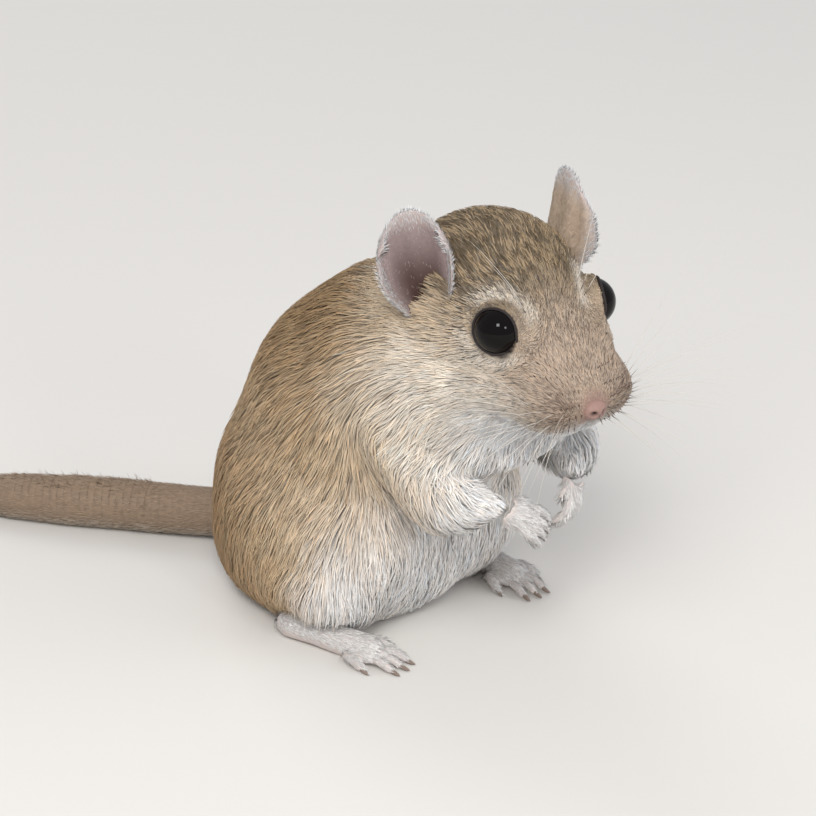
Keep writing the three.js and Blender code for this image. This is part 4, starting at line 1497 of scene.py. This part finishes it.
def coat_of_tail():
    station = np.array([np.argmin(((tail_line - p) ** 2).sum(axis=1)) for p in tail_points])
    ahead = np.minimum(station + 2, TAIL_STEPS - 1)
    ways = unit(tail_line[ahead] - tail_line[ahead - 3])
    share = station / (TAIL_STEPS - 1)
    above = (tail_points - tail_line[station])[:, 2] / np.maximum(tail_radius[station], 0.5)
    density = 9.0 + 7.0 * smooth(0.25, 0.0, share)
    length = TAIL_HAIR * (0.8 + 0.5 * smooth(0.12, 0.0, share))
    colours = lay(np.tile(TAIL_COAT, (len(tail_points), 1)), smooth(0.0, -0.8, above) * 0.6, CREAM)
    groom, _, pick, _ = short_coat(tail_points, tail_faces, ways, density[tail_faces].mean(axis=1), length,
                                   colours, lift=0.16, width=0.045)
    from_line = tail_points - tail_line[station]
    across = np.arctan2(from_line[:, 2], from_line[:, 0])
    place = np.stack([share, 0.5 + across / (2 * np.pi) * 0.9], axis=1)
    unwrapped = place[tail_faces[pick][:, 0]]
    return coat_piece("coat_tail", "tail_skin", groom, 0.01 + 0.98 * unwrapped)


PAW_WAYS = {"right": (3.6, -5.4, -3.0), "left": (-1.6, -1.2, -6.0)}
PAW_BACKS = {"right": (-0.5, -0.35, 0.8), "left": (0.5, -0.85, 0.25)}
FOOT_TURNS = {"right": 9.0, "left": -8.0}
FOOT_WAYS = {side: (math.sin(math.radians(turn)), -math.cos(math.radians(turn)))
             for side, turn in FOOT_TURNS.items()}
coats += [coat_of_ears(), coat_of_feet(), coat_of_tail()]
print("coat triangles in all:", sum(len(piece.data.polygons) for piece in coats))

# %% [markdown]
# ## Claws
# Each digit ends in a small curved claw of dark horn, which grows out of the tip of the finger or toe.

# %% Claws
FINGER_PLACES = (-1.5, -0.5, 0.5, 1.5)
TOE_PLACES = (-2, -1, 0, 1, 2)
CLAW_STEPS = 9
CLAW_SIDES = 8
CLAW_HORN = (0.20, 0.15, 0.12)
PAW_LENGTH = 8.2
FOOT_LENGTH = 18.5
PALM = PAW_LENGTH * 0.45
SOLE = FOOT_LENGTH * 0.66
CURL = {"right": 0.5, "left": 1.0}
HEELS = {"right": (-17.4, 5.2, 0.0), "left": (15.6, 5.2, 0.0)}


def frame_of(at, forward, up_hint):
    back = -unit(forward)
    right = unit(np.cross(back, up_hint))
    return np.column_stack([right, back, np.cross(right, back)]), np.asarray(at, float)


def finger_tips(side):
    """Knuckle and tip of each finger in the paw's own frame."""
    curl = CURL[side]
    for place in FINGER_PLACES:
        reach = 1 - 0.1 * abs(place)
        yield ((place * 1.3, -PALM - 1.5 * reach, -0.1 - curl * 0.3),
               (place * 1.2, -PALM - 2.8 * reach, -0.7 - curl * 1.3))


def toe_tips():
    for place in TOE_PLACES:
        outer = abs(place) == 2
        start = -SOLE + 2.2 if outer else -SOLE - 0.4
        length = 3.2 if outer else 4.6 - 0.35 * abs(place)
        yield (place * 1.6, start - length / 2, 1.35), (place * 1.75, start - length, 0.62)


def claw(knuckle, tip, length, radius, droop):
    """A tapered horn that bends down from the line of the digit."""
    way = unit(tip - knuckle)
    share = np.linspace(-0.35, 1, CLAW_STEPS)
    bend = np.array(droop) * (np.maximum(share, 0) ** 2 * length)[:, None]
    line = tip + way * (share * length)[:, None] + bend
    widths = radius * np.sqrt(np.clip(1 - share.clip(0, 1) ** 1.6, 0.004, 1))
    return line, widths


def path_mesh(name, lines):
    """Open lines as edges, each point with its own width, ready for the sweep."""
    points, edges, widths = [], [], []
    for line, line_widths in lines:
        edges += [(len(points) + i, len(points) + i + 1) for i in range(len(line) - 1)]
        points += to_frame(line).tolist()
        widths += list(line_widths * MM)
    mesh = bpy.data.meshes.new(name)
    mesh.from_pydata(points, edges, [])
    layer = mesh.attributes.new("width", "FLOAT", "POINT")
    layer.data.foreach_set("value", np.array(widths, np.float32))
    return mesh


claw_lines = []
for side in SIDES:
    basis, origin = frame_of(WRISTS[side], PAW_WAYS[side], PAW_BACKS[side])
    for knuckle, tip in finger_tips(side):
        claw_lines.append(claw(basis @ knuckle + origin, basis @ tip + origin, length=1.5, radius=0.27,
                               droop=basis @ (0, 0, -0.35)))
    spin = np.array(Matrix.Rotation(math.radians(FOOT_TURNS[side]), 3, "Z"))
    for knuckle, tip in toe_tips():
        claw_lines.append(claw(spin @ knuckle + HEELS[side], spin @ tip + HEELS[side], length=1.7,
                               radius=0.33, droop=(0, 0, 0.12)))
claw_mesh = grown("claws", path_mesh("claw_paths", claw_lines), SWEEP,
                  {"Sides": CLAW_SIDES, "Material": horn_material})
claw_mesh.materials.clear()
paint(claw_mesh, np.tile(CLAW_HORN, (len(claw_mesh.vertices), 1)))
claws = piece_from("claws", claw_mesh, "claw", horn_material)
print(claws.name, len(claw_lines), "with", len(claw_mesh.polygons), "faces")

# %% [markdown]
# ## Whiskers
# Rows of long pale whiskers grow from the pads on both sides of the snout. Each leaves its pad at an angle,
# sags under its own weight and thins to a point. A few shorter ones stand over the eyes. Short dark
# bristles stand in rows between them, and make the dots of the pad.

# %% Whiskers
WHISKER_ROWS = ((1.6, 0.45), (0.5, 0.2), (-0.7, -0.1), (-1.9, -0.45), (-3.0, -0.85))
WHISKER_COLUMNS = 5
WHISKER_STEPS = 16
WHISKER_SIDES = 5
WHISKER_RADIUS = 0.042
BROW_WHISKERS = 3
BROW_RADIUS = 0.05
BRISTLE_ROWS = 6
BRISTLE_COLUMNS = 8
BRISTLE_RADIUS = 0.12
WHISKER_PALE = (0.56, 0.52, 0.46)
WHISKER_DARK = (0.09, 0.06, 0.05)
WHISKER_REACH = {"right": 23.0, "left": 25.0}


def whisker(root, way, length, sag, radius=WHISKER_RADIUS):
    share = np.linspace(0, 1, WHISKER_STEPS)
    line = root + way * (share * length)[:, None]
    line[:, 2] -= sag * length * share ** 2
    widths = radius * (1 - 0.86 * share)
    return line, widths


def pad_whiskers(name):
    side = SIDES[name]
    for rise, tilt in WHISKER_ROWS:
        for column in range(WHISKER_COLUMNS):
            back = column / (WHISKER_COLUMNS - 1)
            ray = np.array([side * (0.30 + 0.30 * back), -1.0 + 0.18 * back, -0.28 + 0.075 * rise])
            hit = skin_tree.ray_cast(Vector(HEAD_MIDDLE), Vector(HEAD_TURN @ unit(ray)))[0]
            way = unit(np.array([side, -0.75 + 1.05 * back + 0.1 * rng.standard_normal(),
                                 tilt + 0.35 * back + 0.12 * rng.standard_normal()]))
            length = WHISKER_REACH[name] * (0.45 + 0.55 * back) * (0.8 + 0.3 * rng.random())
            sag = 0.05 + 0.2 * rng.random()
            yield whisker(np.array(hit) - HEAD_TURN @ way * 0.3, HEAD_TURN @ way, length, sag)


def brow_whiskers(name):
    side = SIDES[name]
    for i in range(BROW_WHISKERS):
        ray = np.array([side * (0.55 - 0.05 * i), -0.55 + 0.1 * i, 0.75])
        hit = skin_tree.ray_cast(Vector(HEAD_MIDDLE), Vector(HEAD_TURN @ unit(ray)))[0]
        way = unit(np.array([side * 0.5, 0.1 + 0.2 * i, 0.8]))
        yield whisker(np.array(hit), HEAD_TURN @ way, 9 + 2 * i, sag=0.15, radius=BROW_RADIUS)


def pad_bristles(name):
    """Short dark bristles in rows, which dot the pad of the whiskers."""
    side = SIDES[name]
    for row in range(BRISTLE_ROWS):
        for column in range(BRISTLE_COLUMNS):
            along = (column + 0.5 * (row % 2) + 0.3 * rng.random()) / BRISTLE_COLUMNS
            ray = np.array([side * (0.13 + 0.42 * along), -1.0 + 0.12 * along, -0.38 + 0.085 * row])
            hit = skin_tree.ray_cast(Vector(HEAD_MIDDLE), Vector(HEAD_TURN @ unit(ray)))
            spot, normal = np.array(hit[0]), np.array(hit[1])
            way = unit(normal + HEAD_TURN @ np.array([side * 0.2, 0.5, 0.0]))
            length = 0.8 + 0.3 * rng.random()
            yield whisker(spot - normal * 0.1, way, length, sag=0.1, radius=BRISTLE_RADIUS)


whisker_lines = [line for name in SIDES for maker in (pad_whiskers, brow_whiskers) for line in maker(name)]
whisker_lines += [line for name in SIDES for line in pad_bristles(name)]
whisker_mesh = grown("whiskers", path_mesh("whisker_paths", whisker_lines), SWEEP,
                     {"Sides": WHISKER_SIDES, "Material": horn_material})
whisker_mesh.materials.clear()
whisker_points = points_of(whisker_mesh)
root_gaps = [np.linalg.norm(whisker_points - line[0], axis=1) for line, widths in whisker_lines]
from_root = np.min(root_gaps, axis=0)
whisker_colours = np.tile(WHISKER_PALE, (len(whisker_points), 1))
paint(whisker_mesh, lay(whisker_colours, smooth(2.0, 0.9, from_root), WHISKER_DARK))
whiskers = piece_from("whiskers", whisker_mesh, "whisker", horn_material)
print(whiskers.name, len(whisker_lines), "with", len(whisker_mesh.polygons), "faces")

# %% [markdown]
# ## Floor and light
# The animal stands on a plain pale floor. One large soft light hangs high to the left of the camera, a
# weaker one fills from the right, and a third grazes the back so that the coat's edge glows. Two small
# lights alone show as glints in the eyes, so that the eyes stay black otherwise.

# %% Floor and light
FLOOR_SIZE = 3.0
FLOOR_COLOUR = (0.62, 0.60, 0.57)
FLOOR_ROUGHNESS = 0.8
SKY_COLOUR = (0.93, 0.95, 1.0)
SKY_STRENGTH = 0.55


def light(name, towards, distance, size, energy, colour=(1, 1, 1), mirrored=False):
    """A soft square light, sizes in metres; only a mirrored one shows as a glint in the eyes."""
    data = bpy.data.lights.new(name, "AREA")
    data.shape = "SQUARE"
    data.size = size
    data.energy = energy
    data.color = colour
    lamp = bpy.data.objects.new(name, data)
    way = unit(towards)
    lamp.location = Vector(to_frame(AIM + way * distance / MM))
    lamp.rotation_euler = Vector(-way).to_track_quat("-Z", "Y").to_euler()
    lamp.visible_glossy = mirrored
    bpy.context.scene.collection.objects.link(lamp)


half = FLOOR_SIZE / 2
floor_mesh = bpy.data.meshes.new("floor")
floor_corners = [(-half, -half, 0), (half, -half, 0), (half, half, 0), (-half, half, 0)]
floor_mesh.from_pydata(floor_corners, [], [(0, 1, 2, 3)])
floor = bpy.data.objects.new("floor", floor_mesh)
bpy.context.scene.collection.objects.link(floor)
floor_material = bpy.data.materials.new("floor")
floor_material.use_nodes = True
floor_surface = floor_material.node_tree.nodes["Principled BSDF"]
floor_surface.inputs["Base Color"].default_value = (*FLOOR_COLOUR, 1)
floor_surface.inputs["Roughness"].default_value = FLOOR_ROUGHNESS
floor.data.materials.append(floor_material)

light("key", (-0.75, -0.45, 0.85), distance=0.75, size=0.45, energy=3.7, colour=(1.0, 0.98, 0.95))
light("fill", (0.55, -0.95, 0.45), distance=0.9, size=0.6, energy=2.6, colour=(0.93, 0.96, 1.0))
light("edge", (0.35, 0.9, 0.75), distance=0.8, size=0.4, energy=1.6)
light("glint_high", (-0.80, -0.62, 0.95), distance=0.7, size=0.15, energy=1.4, mirrored=True)
light("glint_low", (-0.25, -1.0, 0.55), distance=0.7, size=0.10, energy=0.5, mirrored=True)
world = bpy.data.worlds.new("studio")
world.use_nodes = True
world.node_tree.nodes["Background"].inputs["Color"].default_value = (*SKY_COLOUR, 1)
world.node_tree.nodes["Background"].inputs["Strength"].default_value = SKY_STRENGTH
bpy.context.scene.world = world
bpy.context.scene.view_settings.view_transform = "Standard"
